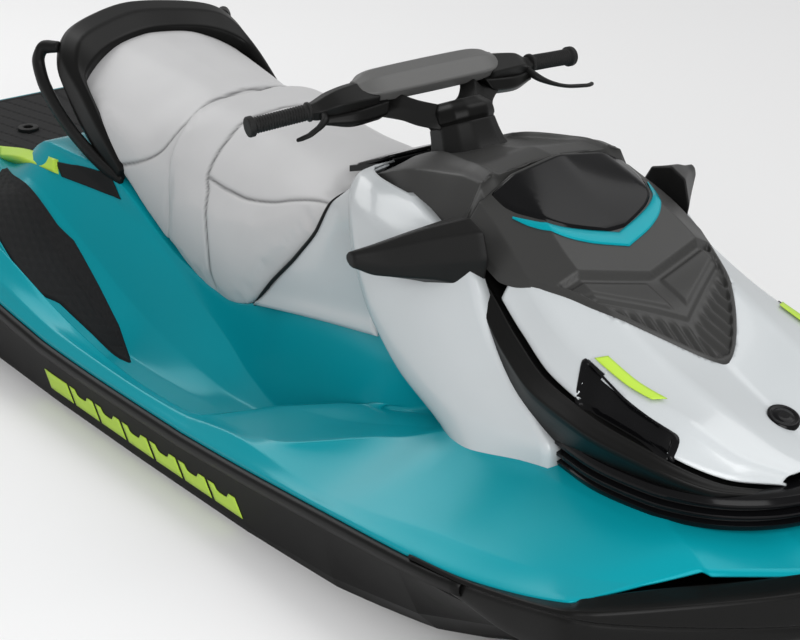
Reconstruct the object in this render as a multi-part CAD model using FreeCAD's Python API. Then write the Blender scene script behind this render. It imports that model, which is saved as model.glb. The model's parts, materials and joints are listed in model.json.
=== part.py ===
"""Personal watercraft, three seats: hull, deck, seats, hood, steering and jet pump.

Frame: +X to the bow, +Y to port, +Z up, origin on the waterline amidships. Sizes in millimetres.
Cross-sections are given for the port half and mirrored, so the tables list positive y only.
"""
import FreeCAD
import Part
import math
import os

V = FreeCAD.Vector

# ---------------------------------------------------------------- driving dimensions
LENGTH = 3320.0                    # stern platform to bow bumper
BEAM = 1255.0                      # over the rub rails
RUB_THICK = 16.0                   # how far the rub rail stands out of the deck edge
RUB_HEIGHT = 34.0                  # height of the rub rail
GAP = 5.0                          # clearance round every piece that moves
MAT_THICK = 6.0
PANEL = 14.0                       # wall of the moulded covers
BIN_WALL = 4.0
PUMP_BORE_R = 79.0                 # wall radius in the jet pump
PUMP_Z = -120.0                    # height of the shaft line
TIP_GAP = 1.5                      # impeller blade to pump wall
SHAFT_R = 14.0
GRIP_R = 17.0
BAR_R = 11.0
EYE_BORE_R = 8.0

HALF = BEAM / 2.0 - RUB_THICK      # deck edge, inside the rub rail
BOW = LENGTH / 2.0
STERN = -LENGTH / 2.0
TRANSOM = STERN + 160.0
LX = LENGTH / 3320.0               # stations keep their share of the length
LY = BEAM / 1255.0


# ---------------------------------------------------------------- helpers
def x_at(station):
    """Station along the hull for the drawn length, moved to this length."""
    return station * LX


def y_at(offset):
    return offset * LY


def mirror(shape):
    return shape.mirror(V(0, 0, 0), V(0, 1, 0))


def mixed(table, x, column):
    """Value of a table's column at x, in line between its two rows; column 0 is x."""
    rows = sorted(table, key=lambda row: row[0])
    if x <= rows[0][0]:
        return rows[0][column]
    for low, high in zip(rows, rows[1:]):
        if x <= high[0]:
            share = (x - low[0]) / (high[0] - low[0])
            return low[column] + share * (high[column] - low[column])
    return rows[-1][column]


def half_section(x, points):
    """Closed wire in the plane X = x from the port half's (y, z) points, keel first."""
    port = [V(x_at(x), y_at(y), z) for y, z in points]
    starboard = [V(x_at(x), -y_at(y), z) for y, z in reversed(points) if y > 0.001]
    corners = port + starboard
    return Part.makePolygon(corners + corners[:1])


def loft(wires):
    return Part.makeLoft(wires, True, True)


def poly_solid(points, direction):
    """Polygon through the points, extruded along direction."""
    wire = Part.makePolygon(list(points) + [points[0]])
    return Part.Face(wire).extrude(direction)


def box(x, y, z):
    """Box from three (low, high) pairs."""
    return Part.makeBox(x[1] - x[0], y[1] - y[0], z[1] - z[0], V(x[0], y[0], z[0]))


def rod(a, b, radius):
    return Part.makeCylinder(radius, (b - a).Length, a, b - a)


def fuse(shapes):
    whole = shapes[0]
    if len(shapes) > 1:
        whole = shapes[0].multiFuse(shapes[1:])
    return whole.removeSplitter()


def one(shape):
    """The only solid of a shape, or a compound of its solids."""
    return shape.Solids[0] if len(shape.Solids) == 1 else Part.makeCompound(shape.Solids)


def main_piece(shape):
    """The largest solid of a cut shape."""
    return max(shape.Solids, key=lambda solid: solid.Volume)


def save(name, shape):
    shape = one(shape)
    PARTS[name] = shape
    shape.exportStep("parts/" + name + ".step")


PARTS = {}
os.makedirs("parts", exist_ok=True)

# ---------------------------------------------------------------- plan outline and sheer
# sheer: x, height of the seam between hull and deck
SHEER = [(-1640, 205), (-1500, 202), (-1200, 190), (-960, 172), (-800, 156), (-600, 138), (-400, 121), (-200, 118),
         (0, 119), (200, 122), (400, 134), (600, 148), (750, 160), (950, 176), (1150, 188), (1265, 204), (1378, 226),
         (1484, 238), (1553, 240), (1700, 244)]


def flank_arc(flat_x, side, end_x, end_y):
    """Arc that leaves the straight flank at flat_x without a corner and ends at the given point."""
    run = abs(end_x - flat_x)
    drop = side - end_y
    radius = (run * run + drop * drop) / (2 * drop)
    half_run = run * 0.5
    middle = V((flat_x + end_x) / 2, side - radius + math.sqrt(radius ** 2 - half_run ** 2), 0)
    return Part.Arc(V(flat_x, side, 0), middle, V(end_x, end_y, 0)).toShape()


def outline(out, stern):
    """Plan of the deck edge, moved outwards by out, from the stern station to the bow."""
    side = HALF + out
    port = [V(stern - out, y_at(440) + out, 0), V(stern + 45, y_at(490) + out, 0)]
    flank = flank_arc(x_at(-300), side, port[1].x, port[1].y)
    shoulder = flank_arc(x_at(900), side, x_at(1378) + out / 2, y_at(538) + out)
    nose = Part.Arc(V(x_at(1378) + out / 2, y_at(538) + out, 0), V(x_at(1490) + out, y_at(300), 0),
                    V(x_at(1600) + out, 0, 0)).toShape()
    edges = [Part.makeLine(V(stern - out, 0, 0), port[0]), Part.makeLine(port[0], port[1]), flank,
             Part.makeLine(V(x_at(-300), side, 0), V(x_at(900), side, 0)), shoulder, nose]
    starboard = [mirror(edge) for edge in edges]
    return Part.Face(Part.Wire(Part.__sortEdges__(edges + starboard)))


def pillar(face, low, high):
    """The plan face as a column from height low to height high."""
    column = face.extrude(V(0, 0, high - low))
    column.translate(V(0, 0, low))
    return column


def sheer_band(below, above, stern=-1800, bow=1800):
    """Slab that follows the sheer, from below under it to above over it, as wide as the craft."""
    rows = [(x, z) for x, z in SHEER if stern < x < bow]
    ends = [(stern, mixed(SHEER, stern, 1))] + rows + [(bow, mixed(SHEER, bow, 1))]
    low = [V(x_at(x), -BEAM, z + below) for x, z in ends]
    high = [V(x_at(x), -BEAM, z + above) for x, z in reversed(ends)]
    return poly_solid(low + high, V(0, 2 * BEAM, 0))


# ---------------------------------------------------------------- hull
# x, keel z, chine y, chine z, knuckle y, knuckle z, top y
HULL = [(-1500, -215, 465, -55, 500, 5, 520), (-1200, -235, 520, -72, 548, 2, 568),
        (-800, -245, 552, -80, 584, 0, 604), (-400, -248, 562, -82, 594, 0, 612),
        (0, -248, 562, -80, 595, 0, 612), (400, -245, 558, -70, 592, 5, 612),
        (700, -235, 540, -50, 582, 15, 612), (950, -205, 490, -18, 556, 40, 612),
        (1150, -150, 400, 25, 505, 85, 612), (1300, -80, 290, 75, 430, 135, 600),
        (1430, 5, 165, 130, 300, 180, 560), (1530, 115, 60, 178, 160, 212, 420),
        (1600, 190, 24, 208, 80, 222, 300)]


def hull_section(row):
    x, keel, chine_y, chine_z, knuckle_y, knuckle_z, top_y = row
    return half_section(x, [(0, keel), (chine_y, chine_z), (chine_y + 14, chine_z + 12),
                            (knuckle_y, knuckle_z + 8), (top_y, mixed(SHEER, x, 1))])


def make_hull():
    body = loft([hull_section(row) for row in HULL])
    body = body.common(pillar(outline(0, TRANSOM), -400, 400))
    for side in (1, -1):
        for inner, outer in ((150, 176), (320, 348)):
            rows = [row for row in HULL if -1500 <= row[0] <= 950]
            wires = []
            for row in rows:
                slope = (row[3] - row[1]) / y_at(row[2])
                low = row[1] + slope * y_at(inner)
                x = x_at(row[0])
                wires.append(Part.makePolygon([V(x, side * y_at(inner), low + 6), V(x, side * y_at(inner), low),
                                               V(x, side * y_at(outer), low),
                                               V(x, side * y_at(outer), row[1] + slope * y_at(outer) + 6),
                                               V(x, side * y_at(inner), low + 6)]))
            body = body.fuse(loft(wires))
    return body


TUNNEL_R = PUMP_BORE_R + 41.0
TUNNEL_FRONT = TRANSOM + 430.0
GRATE_BACK = TUNNEL_FRONT + 40.0
GRATE_FRONT = GRATE_BACK + 480.0
GRATE_HALF = 105.0
ENGINE = ((x_at(-420), x_at(230)), (-165.0, 165.0), (-150.0, 185.0))


def pump_tunnel():
    """Open tunnel in the stern bottom that holds the jet pump."""
    tube = Part.makeCylinder(TUNNEL_R, TUNNEL_FRONT - TRANSOM + 10, V(TRANSOM - 10, 0, PUMP_Z), V(1, 0, 0))
    slot = box((TRANSOM - 10, TUNNEL_FRONT), (-TUNNEL_R, TUNNEL_R), (-400, PUMP_Z))
    return tube.fuse(slot)


def intake_duct():
    """Duct from the grate in the bottom up and back to the pump bore."""
    mouth = poly_solid([V(GRATE_BACK, -GRATE_HALF, -330), V(GRATE_FRONT, -GRATE_HALF, -330),
                        V(GRATE_FRONT, -GRATE_HALF, -238), V(GRATE_BACK + 60, -GRATE_HALF, PUMP_Z + PUMP_BORE_R - 6),
                        V(GRATE_BACK, -GRATE_HALF, PUMP_Z + PUMP_BORE_R - 6)], V(0, 2 * GRATE_HALF, 0))
    throat = Part.makeCylinder(PUMP_BORE_R, GRATE_BACK - TUNNEL_FRONT + 60, V(TUNNEL_FRONT - 5, 0, PUMP_Z), V(1, 0, 0))
    return mouth.fuse(throat)


# ---------------------------------------------------------------- storage bin place
BIN = ((x_at(700), x_at(1230)), (-175.0, 175.0), (60.0, 430.0))
GLOVE = ((x_at(105), x_at(221)), (-95.0, 95.0), (430.0, 660.0))

# ---------------------------------------------------------------- deck
FLOOR_THICK = 30.0                 # deck under the footwell floors
# x, lower crease y z, upper crease y z, valley y z, inner y z, centre z
DECK = [(-1640, 425, 262, 345, 305, 320, 288, 150, 288, 288),
        (-1400, 520, 262, 360, 338, 325, 296, 150, 296, 296),
        (-1150, 560, 262, 380, 350, 330, 300, 150, 300, 300),
        (-960, 578, 252, 545, 300, 505, 296, 430, 298, 300),
        (-735, 590, 226, 550, 262, 516, 202, 400, 202, 202),
        (-500, 592, 188, 550, 204, 520, 100, 400, 100, 100),
        (-390, 592, 172, 550, 180, 520, 52, 400, 52, 52),
        (-200, 592, 164, 550, 152, 520, 50, 392, 50, 50),
        (0, 592, 164, 548, 146, 520, 50, 375, 50, 50),
        (150, 590, 172, 540, 158, 515, 52, 350, 52, 52),
        (330, 582, 190, 520, 182, 330, 190, 200, 196, 196),
        (410, 580, 194, 470, 208, 300, 222, 200, 226, 226),
        (560, 580, 192, 405, 246, 285, 266, 200, 268, 268),
        (750, 577, 206, 338, 278, 285, 300, 200, 305, 305),
        (1050, 548, 247, 335, 290, 225, 306, 120, 310, 310),
        (1290, 492, 257, 325, 285, 262, 302, 110, 304, 304),
        (1484, 311, 274, 306, 272, 295, 274, 100, 278, 280),
        (1620, 200, 274, 150, 272, 140, 271, 70, 270, 270)]

# x, foot y z, middle y z, top y z of the seat pedestal
PEDESTAL = [(-1120, 360, 285, 345, 330, 290, 372), (-900, 388, 250, 345, 306, 285, 402),
            (-650, 393, 120, 330, 195, 262, 380), (-503, 394, 60, 330, 145, 250, 290),
            (-264, 388, 40, 330, 88, 250, 222), (-40, 373, 30, 320, 82, 250, 276),
            (100, 345, 30, 304, 120, 262, 335), (290, 336, 35, 300, 160, 284, 384),
            (410, 330, 150, 306, 220, 290, 400), (620, 300, 170, 290, 250, 262, 400)]


def deck_section(row):
    x, low_y, low_z, top_y, top_z, valley_y, valley_z, inner_y, inner_z, centre = row
    seam = mixed(SHEER, x, 1)
    base = min(seam - 1, valley_z - FLOOR_THICK)
    return half_section(x, [(0, base), (valley_y + 12, base), (valley_y + 26, seam), (640, seam),
                            (640, seam + RUB_HEIGHT), (low_y, low_z), (top_y, top_z),
                            (valley_y, valley_z), (inner_y, inner_z), (0, centre)])


def room_section(row):
    """Everything above the deck's underside, which the hull stays out of."""
    x, valley_y, valley_z = row[0], row[5], row[6]
    seam = mixed(SHEER, x, 1)
    base = min(seam - 1, valley_z - FLOOR_THICK)
    return half_section(x, [(0, base), (valley_y + 12, base), (valley_y + 26, seam), (640, seam), (640, 700), (0, 700)])


def deck_stations():
    """Deck rows at the table's stations and at the sheer's, so that both meet the hull's top."""
    places = sorted({row[0] for row in DECK} | {x for x, _ in SHEER if -1640 < x < 1620})
    return [tuple([x] + [mixed(DECK, x, column) for column in range(1, 10)]) for x in places]


def make_deck():
    tub = loft([deck_section(row) for row in deck_stations()])
    tub = tub.common(pillar(outline(0, STERN + RUB_THICK), -400, 600))
    return tub


def make_seat_base():
    """Raised middle of the deck moulding that carries the seats, seated on the floors."""
    block = loft([half_section(x, [(0, foot_z), (foot_y, foot_z), (middle_y, middle_z), (top_y, top_z), (0, top_z)])
                  for x, foot_y, foot_z, middle_y, middle_z, top_y, top_z in PEDESTAL])
    return main_piece(block.cut(deck))


def deck_top(x, y):
    """Height of the deck's upper side at a place on the tub, on the port half."""
    row = [mixed(DECK, x, column) for column in range(1, 10)]
    seam = mixed(SHEER, x, 1)
    points = [(0, row[8]), (row[6], row[7]), (row[4], row[5]), (row[2], row[3]), (row[0], row[1]),
              (640, seam + RUB_HEIGHT)]
    for (y0, z0), (y1, z1) in zip(points, points[1:]):
        if y0 <= y <= y1:
            return z0 + (z1 - z0) * (y - y0) / (y1 - y0)
    return points[-1][1]


deck = make_deck()
seat_base = make_seat_base()
for cavity in (box(*ENGINE), box(*BIN)):
    deck = deck.cut(cavity)
    seat_base = seat_base.cut(cavity)
seat_base = seat_base.cut(box(*GLOVE))
save("seat_base", seat_base)
SHAFT_HOLE = Part.makeCylinder(SHAFT_R + 0.05, 900, V(GRATE_BACK, 0, PUMP_Z), V(1, 0, 0))
deck_room = loft([room_section(row) for row in deck_stations()])
hull = make_hull().cut(pump_tunnel()).cut(intake_duct()).cut(deck_room)
for cavity in (box(*ENGINE), box(*BIN), SHAFT_HOLE):
    hull = hull.cut(cavity)
save("hull", hull)
save("engine_block", box(*ENGINE))


# ---------------------------------------------------------------- rub rail and bow bumper
def make_rub_rail():
    ring = pillar(outline(RUB_THICK, STERN + RUB_THICK), 0, 500).cut(pillar(outline(0, STERN + RUB_THICK), 0, 500))
    rail = ring.common(sheer_band(0, RUB_HEIGHT))
    return rail.common(box((STERN - 10, x_at(1120)), (-BEAM, BEAM), (0, 500)))


# x, y of the bow bumper's outer edge
BUMPER = [(1120, 608), (1270, 594), (1400, 576), (1442, 545), (1536, 392), (1615, 215), (1660, 60)]


def make_bow_bumper():
    port = [V(x_at(x), y_at(y), 0) for x, y in BUMPER]
    loop = port + [mirror(Part.Vertex(p)).Point for p in reversed(port)]
    slab = pillar(Part.Face(Part.makePolygon(loop + loop[:1])), 100, 500)
    slab = slab.cut(pillar(outline(0, STERN), 0, 600))
    band = sheer_band(-62, RUB_HEIGHT)
    front = slab.common(band)
    under = poly_solid([V(x_at(1100), -BEAM, 40), V(BOW + 10, -BEAM, 40), V(BOW + 10, -BEAM, 196),
                        V(x_at(1480), -BEAM, 168), V(x_at(1100), -BEAM, 130)], V(0, 2 * BEAM, 0))
    return front.cut(under)


save("rub_rail", make_rub_rail())
save("bow_bumper", make_bow_bumper())

# ---------------------------------------------------------------- side cowls, white
# z, rear edge x y, middle x y, front edge x y
COWL = [(235, 740, 320, 880, 366, 985, 285), (285, 715, 322, 850, 366, 985, 285), (360, 560, 326, 790, 366, 1000, 290),
        (450, 440, 320, 670, 352, 845, 288), (540, 368, 306, 580, 336, 752, 284),
        (620, 305, 272, 500, 308, 704, 274), (682, 262, 226, 430, 258, 610, 246)]


def make_side_cowl():
    wires = []
    for z, rear_x, rear_y, mid_x, mid_y, front_x, front_y in COWL:
        outer = [(rear_x, rear_y), (mid_x, mid_y), (front_x, front_y)]
        inner = [(x, y - PANEL) for x, y in reversed(outer)]
        corners = [V(x_at(x), y_at(y), z) for x, y in outer + inner]
        wires.append(Part.makePolygon(corners + corners[:1]))
    return loft(wires)


side_cowl = make_side_cowl()

# ---------------------------------------------------------------- front cowl under the hood
# x, foot y, band y z, lip y z
FRONT = [(560, 285, 288, 470, 236, 640), (660, 295, 270, 600, 236, 626), (760, 300, 280, 556, 250, 584),
         (880, 300, 306, 496, 272, 524), (1000, 285, 330, 462, 294, 486), (1150, 270, 340, 448, 304, 468),
         (1300, 240, 310, 428, 282, 446), (1400, 190, 246, 398, 214, 408), (1455, 120, 160, 382, 122, 388)]


def make_front_cowl():
    wires = [half_section(x, [(0, 250), (foot, 250), (foot, 330), (band_y, band_z), (lip_y, lip_z), (0, lip_z)])
             for x, foot, band_y, band_z, lip_y, lip_z in FRONT]
    return loft(wires)


front_cowl = make_front_cowl().cut(box(BIN[0], BIN[1], (0, 900)))
for other in (deck, seat_base, side_cowl, mirror(side_cowl)):
    front_cowl = front_cowl.cut(other)
side_cowl = side_cowl.cut(deck).cut(seat_base)
save("side_cowl_left", side_cowl)
save("side_cowl_right", mirror(side_cowl))

# ---------------------------------------------------------------- front bumper and grille
# x, outer y
NOSE = [(1040, 300), (1160, 318), (1300, 300), (1420, 236), (1490, 130), (1520, 0)]


def nose_slab(share, low, high):
    """Slab of the nose plan between two heights, its outline drawn in by share."""
    port = [V(x_at(1040) + (x_at(x) - x_at(1040)) * share, y_at(y) * share, 0) for x, y in NOSE]
    loop = port + [mirror(Part.Vertex(p)).Point for p in reversed(port[:-1])]
    return pillar(Part.Face(Part.makePolygon(loop + loop[:1])), low, high)


def make_front_bumper():
    slab = nose_slab(1.0, 318, 390)
    for z in (338, 360):
        slab = slab.cut(nose_slab(1.0, z, z + 9).cut(nose_slab(0.95, z - 1, z + 10)))
    return slab


front_bumper = make_front_bumper().cut(deck).cut(box(BIN[0], BIN[1], (0, 900))).cut(side_cowl).cut(mirror(side_cowl))
front_cowl = main_piece(front_cowl.cut(front_bumper))
save("front_cowl", front_cowl)
save("front_bumper", front_bumper)

# ---------------------------------------------------------------- hood
# x, centre z, crest y z, shoulder y z, edge y z
HOOD = [(640, 768, 110, 748, 188, 706, 232, 648), (760, 705, 130, 704, 212, 668, 250, 594),
        (880, 640, 148, 656, 232, 612, 268, 534), (1000, 582, 152, 608, 250, 582, 290, 496),
        (1150, 508, 142, 562, 262, 556, 300, 478), (1300, 454, 122, 512, 232, 528, 278, 456),
        (1400, 424, 100, 452, 176, 456, 210, 418), (1455, 402, 56, 412, 100, 412, 118, 398)]
HOOD_WALL = 16.0


def hood_section(row, inset):
    x, centre, crest_y, crest_z, shoulder_y, shoulder_z, edge_y, edge_z = row
    return half_section(x, [(0, edge_z), (edge_y - inset, edge_z), (shoulder_y - inset, shoulder_z - inset),
                            (crest_y, crest_z - inset), (0, centre - inset)])


def make_hood():
    outer = loft([hood_section(row, 0) for row in HOOD])
    inner_rows = [HOOD[0], *HOOD[1:-1]]
    inner = loft([hood_section(row, HOOD_WALL) for row in inner_rows])
    keep = box((x_at(640) + HOOD_WALL, x_at(1400) - HOOD_WALL), (-400, 400), (0, 900))
    return outer.cut(inner.common(keep))


# x, z of the scoop opening in the hood's side
SCOOP = [(1060, 545), (1085, 430), (1310, 430), (1300, 478), (1170, 512)]
SCOOP_DEEP = 10.0
scoop_place = poly_solid([V(x_at(x), y_at(236), z) for x, z in SCOOP], V(0, 200, 0))
hood = make_hood()
scoop = main_piece(loft([hood_section(row, SCOOP_DEEP) for row in HOOD]).common(scoop_place))
for place in (scoop_place, mirror(scoop_place)):
    hood = hood.cut(place)
HOOD_HINGE = V(x_at(1462), 0, 400)
KNUCKLE_R = 8.0
hood = main_piece(hood.fuse(Part.makeCylinder(KNUCKLE_R, 120, HOOD_HINGE - V(0, 60, 0), V(0, 1, 0))))
save("hood", hood)
save("scoop_left", scoop)
save("scoop_right", mirror(scoop))

# ---------------------------------------------------------------- storage bin, open at the top
bin_outer = box(*BIN)
bin_inner = box((BIN[0][0] + BIN_WALL, BIN[0][1] - BIN_WALL), (BIN[1][0] + BIN_WALL, BIN[1][1] - BIN_WALL),
                (BIN[2][0] + BIN_WALL, BIN[2][1] + 10))
save("storage_bin", bin_outer.cut(bin_inner))

# ---------------------------------------------------------------- gauge console and steering head
CONSOLE = [(235, 190, 200, 640), (300, 205, 190, 672), (420, 215, 176, 716), (540, 225, 170, 742),
           (628, 225, 168, 752)]


def make_console():
    wires = [half_section(x, [(0, 300), (foot, 300), (foot, 600), (top_y, top_z), (0, top_z + 18)])
             for x, foot, top_y, top_z in CONSOLE]
    return loft(wires)


STEER_PIVOT = V(x_at(330), 0, 742)
STEER_TILT = 24.0
STEER_AXIS = V(-math.sin(math.radians(STEER_TILT)), 0, math.cos(math.radians(STEER_TILT)))
LID_THICK = 14.0
LID_BACK = V(x_at(90), 0, 596)
LID_HINGE = V(x_at(228), 0, 656)
lid_room = poly_solid([V(LID_BACK.x - 30, -200, LID_BACK.z - 13.5 - GAP), V(LID_HINGE.x, -200, LID_HINGE.z - LID_THICK - GAP - 0.5),
                       V(LID_HINGE.x, -200, 800), V(LID_BACK.x - 30, -200, 800)], V(0, 400, 0))
glove_bin = box(*GLOVE).cut(box((GLOVE[0][0] + 3, GLOVE[0][1] - 3), (GLOVE[1][0] + 3, GLOVE[1][1] - 3),
                                (GLOVE[2][0] + 3, GLOVE[2][1] + 5))).cut(lid_room)
console = main_piece(make_console().cut(deck).cut(seat_base).cut(front_cowl).cut(side_cowl).cut(mirror(side_cowl)))
save("console", console)
save("glovebox", glove_bin)


# ---------------------------------------------------------------- seats
# x, bottom y z, bulge y z, top y z, centre z
SEAT = [(-1040, 205, 400, 225, 520, 150, 600, 626), (-900, 258, 395, 264, 500, 165, 600, 628),
        (-700, 258, 370, 268, 490, 170, 592, 616), (-500, 250, 286, 268, 430, 175, 575, 600),
        (-264, 250, 215, 268, 400, 172, 545, 575), (-60, 250, 262, 260, 430, 150, 560, 592),
        (20, 248, 385, 244, 470, 140, 568, 598), (80, 235, 500, 225, 535, 130, 572, 600)]
SEAT_SPLIT = -500


def make_seat(rows):
    solid = loft([half_section(x, [(0, low_z), (low_y, low_z), (bulge_y, bulge_z), (top_y, top_z), (0, centre)])
                  for x, low_y, low_z, bulge_y, bulge_z, top_y, top_z, centre in rows])
    return main_piece(solid.cut(deck).cut(seat_base))


seat_rider = make_seat([row for row in SEAT if row[0] >= SEAT_SPLIT])
seat_passenger = make_seat([row for row in SEAT if row[0] <= SEAT_SPLIT])
save("seat_rider", seat_rider)
save("seat_passenger", seat_passenger)

# x, foot y z, top y z of the panel between seat and side cowls
SEAT_PANEL = [(-80, 250, 240, 248, 258), (20, 256, 260, 247, 392), (80, 264, 280, 236, 508),
              (245, 292, 300, 212, 590), (420, 306, 300, 240, 600)]
panel = loft([half_section(x, [(0, foot_z), (foot_y, foot_z), (top_y, top_z), (0, top_z)])
              for x, foot_y, foot_z, top_y, top_z in SEAT_PANEL])
for other in (deck, seat_base, seat_rider, console, side_cowl, mirror(side_cowl), box(*GLOVE), front_cowl, lid_room):
    panel = panel.cut(other)
save("seat_panel", main_piece(panel))

# ---------------------------------------------------------------- glove box lid, hinged at its front edge
lid = poly_solid([p + V(0, -118, 0) for p in (LID_BACK, LID_BACK + V(0, 0, LID_THICK), LID_HINGE,
                                              LID_HINGE - V(0, 0, LID_THICK))], V(0, 236, 0))
lid = main_piece(lid.fuse(Part.makeCylinder(5.0, 200, LID_HINGE - V(0, 100, 0), V(0, 1, 0))))
save("glovebox_lid", lid)

# ---------------------------------------------------------------- hood skins: glossy panel, stripe, ribbed insert
def hood_skin(corners, thick):
    """Piece of the hood's outer surface, raised by thick, over a plan outline listed for the port half."""
    outer = loft([hood_section(row, 0) for row in HOOD])
    raised = outer.copy()
    raised.translate(V(0, 0, thick))
    port = [V(x_at(x), y_at(y), 0) for x, y in corners]
    loop = port + [mirror(Part.Vertex(p)).Point for p in reversed(port) if p.y > 0.001]
    plan = pillar(Part.Face(Part.makePolygon(loop + loop[:1])), 300, 900)
    return main_piece(raised.common(plan).cut(outer))


hood_panel = hood_skin([(652, 0), (652, 165), (740, 175), (800, 130), (862, 0)], 10)
hood_stripe = hood_skin([(886, 0), (816, 146), (752, 190), (740, 175), (800, 130), (862, 0)], 8)
hood_insert = hood_skin([(1157, 0), (1130, 150), (1000, 226), (880, 226), (760, 204), (752, 190), (816, 146),
                         (886, 0)], 6)
save("hood_panel", hood_panel)
save("hood_stripe", hood_stripe)
save("hood_insert", hood_insert)

# ---------------------------------------------------------------- mirrors
# fore-aft profile at the root and at the tip: x, z
MIRROR_ROOT = [(612, 560), (618, 640), (690, 700), (768, 682), (765, 590), (700, 540)]
MIRROR_TIP = [(556, 596), (560, 614), (598, 640), (640, 632), (642, 600), (600, 588)]
MIRROR_Y = (262, 465)
mirror_pod = loft([Part.makePolygon([V(x_at(x), y_at(y), z) for x, z in ring + ring[:1]])
                   for ring, y in ((MIRROR_ROOT, MIRROR_Y[0]), (MIRROR_TIP, MIRROR_Y[1]))])
mirror_pod = main_piece(mirror_pod.cut(front_cowl).cut(side_cowl))
save("mirror_left", mirror_pod)
save("mirror_right", mirror(mirror_pod))

# ---------------------------------------------------------------- handlebar, turns on the inclined column
HEAD_LOW = STEER_PIVOT + STEER_AXIS * 6.0
HEAD_HIGH = STEER_PIVOT + STEER_AXIS * 44.0
PAD = [(150, 800), (168, 846), (222, 852), (256, 818), (236, 792), (172, 786)]
PAD_HALF = 116.0


def side_profile(points, y):
    return Part.makePolygon([V(x_at(x), y, z) for x, z in points + points[:1]])


pad = loft([side_profile(PAD, -PAD_HALF), side_profile(PAD, PAD_HALF)])
cover = loft([side_profile([(160, 792), (172, 836), (226, 838), (254, 812), (236, 776), (176, 776)], PAD_HALF),
              side_profile([(162, 782), (174, 808), (206, 810), (222, 794), (206, 774), (172, 770)], 290)])
arm = loft([side_profile([(176, 786), (236, 792), (246, 776), (184, 770)], y) for y in (60, 160)])
strut = loft([Part.makePolygon([V(x_at(x), y, z) for x, y, z in ring]) for ring in (
    [(196, 66, 782), (246, 66, 786), (246, 108, 786), (196, 108, 782), (196, 66, 782)],
    [(282, 30, 752), (350, 30, 780), (350, 74, 780), (282, 74, 752), (282, 30, 752)])])
BAR_ROOT = V(x_at(194), 262, 794)
BAR_END = V(x_at(168), 418, 777)
GRIP_START = BAR_ROOT + (BAR_END - BAR_ROOT) * 0.16
bar = rod(BAR_ROOT, BAR_END, BAR_R)
COLUMN_R = 20.0
head = Part.makeCylinder(58, 38, HEAD_LOW, STEER_AXIS)
column_foot = STEER_PIVOT - STEER_AXIS * 90.0
column = Part.makeCone(56, 46, 90, column_foot, STEER_AXIS).fuse(
    Part.makeCylinder(COLUMN_R, 26, STEER_PIVOT, STEER_AXIS)).cut(console)
save("steering_column", main_piece(column))
handlebar = head
for piece in (cover, arm, strut, bar):
    handlebar = handlebar.fuse(piece).fuse(mirror(piece))
handlebar = handlebar.cut(pad).cut(Part.makeCylinder(COLUMN_R + 0.05, 30, STEER_PIVOT, STEER_AXIS))
grip = rod(GRIP_START, BAR_END + (BAR_END - BAR_ROOT).normalize() * 4, GRIP_R).cut(handlebar)
save("handlebar", handlebar)
save("handlebar_pad", pad)
save("grip_left", grip)
save("grip_right", mirror(grip))


def lever(points, thick, width):
    """Flat lever that follows the points, widest at its clamp."""
    solids = []
    for a, b in zip(points, points[1:]):
        solids.append(rod(a, b, thick))
        solids.append(Part.makeSphere(thick, b))
    clamp = rod(points[0], points[0] + V(-width, 0, 8), thick + 3)
    return fuse([clamp] + solids)


brake = lever([V(x_at(244), 262, 780), V(x_at(262), 320, 752), V(x_at(268), 392, 742), V(x_at(256), 412, 738)], 6, 40)
throttle = lever([V(x_at(236), -272, 782), V(x_at(240), -312, 762), V(x_at(226), -336, 748)], 6, 36)
save("brake_lever", brake.cut(handlebar))
save("throttle_lever", throttle.cut(handlebar))

# ---------------------------------------------------------------- jet pump
PUMP_WALL = 10.0
HUB_R = 32.0                        # impeller hub
PUMP_FRONT = TUNNEL_FRONT
NOZZLE_PIVOT = V(TRANSOM - 56, 0, PUMP_Z)
VENTURI_R = PUMP_BORE_R - 36.0
VENTURI_OUT_R = VENTURI_R + 8.0
VENTURI_END = NOZZLE_PIVOT.x - 12
NOZZLE_R = PUMP_BORE_R - 13.0
NOZZLE_WALL = 7.0
NOZZLE_OUT_R = PUMP_BORE_R - 33.0
PIN_R = 6.0
RUN_FIT = 0.05
AFT = V(-1, 0, 0)


def aft_cylinder(radius, x_front, x_back):
    return Part.makeCylinder(radius, x_front - x_back, V(x_front, 0, PUMP_Z), AFT)


def aft_cone(front_r, back_r, x_front, x_back):
    return Part.makeCone(front_r, back_r, x_front - x_back, V(x_front, 0, PUMP_Z), AFT)


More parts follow.
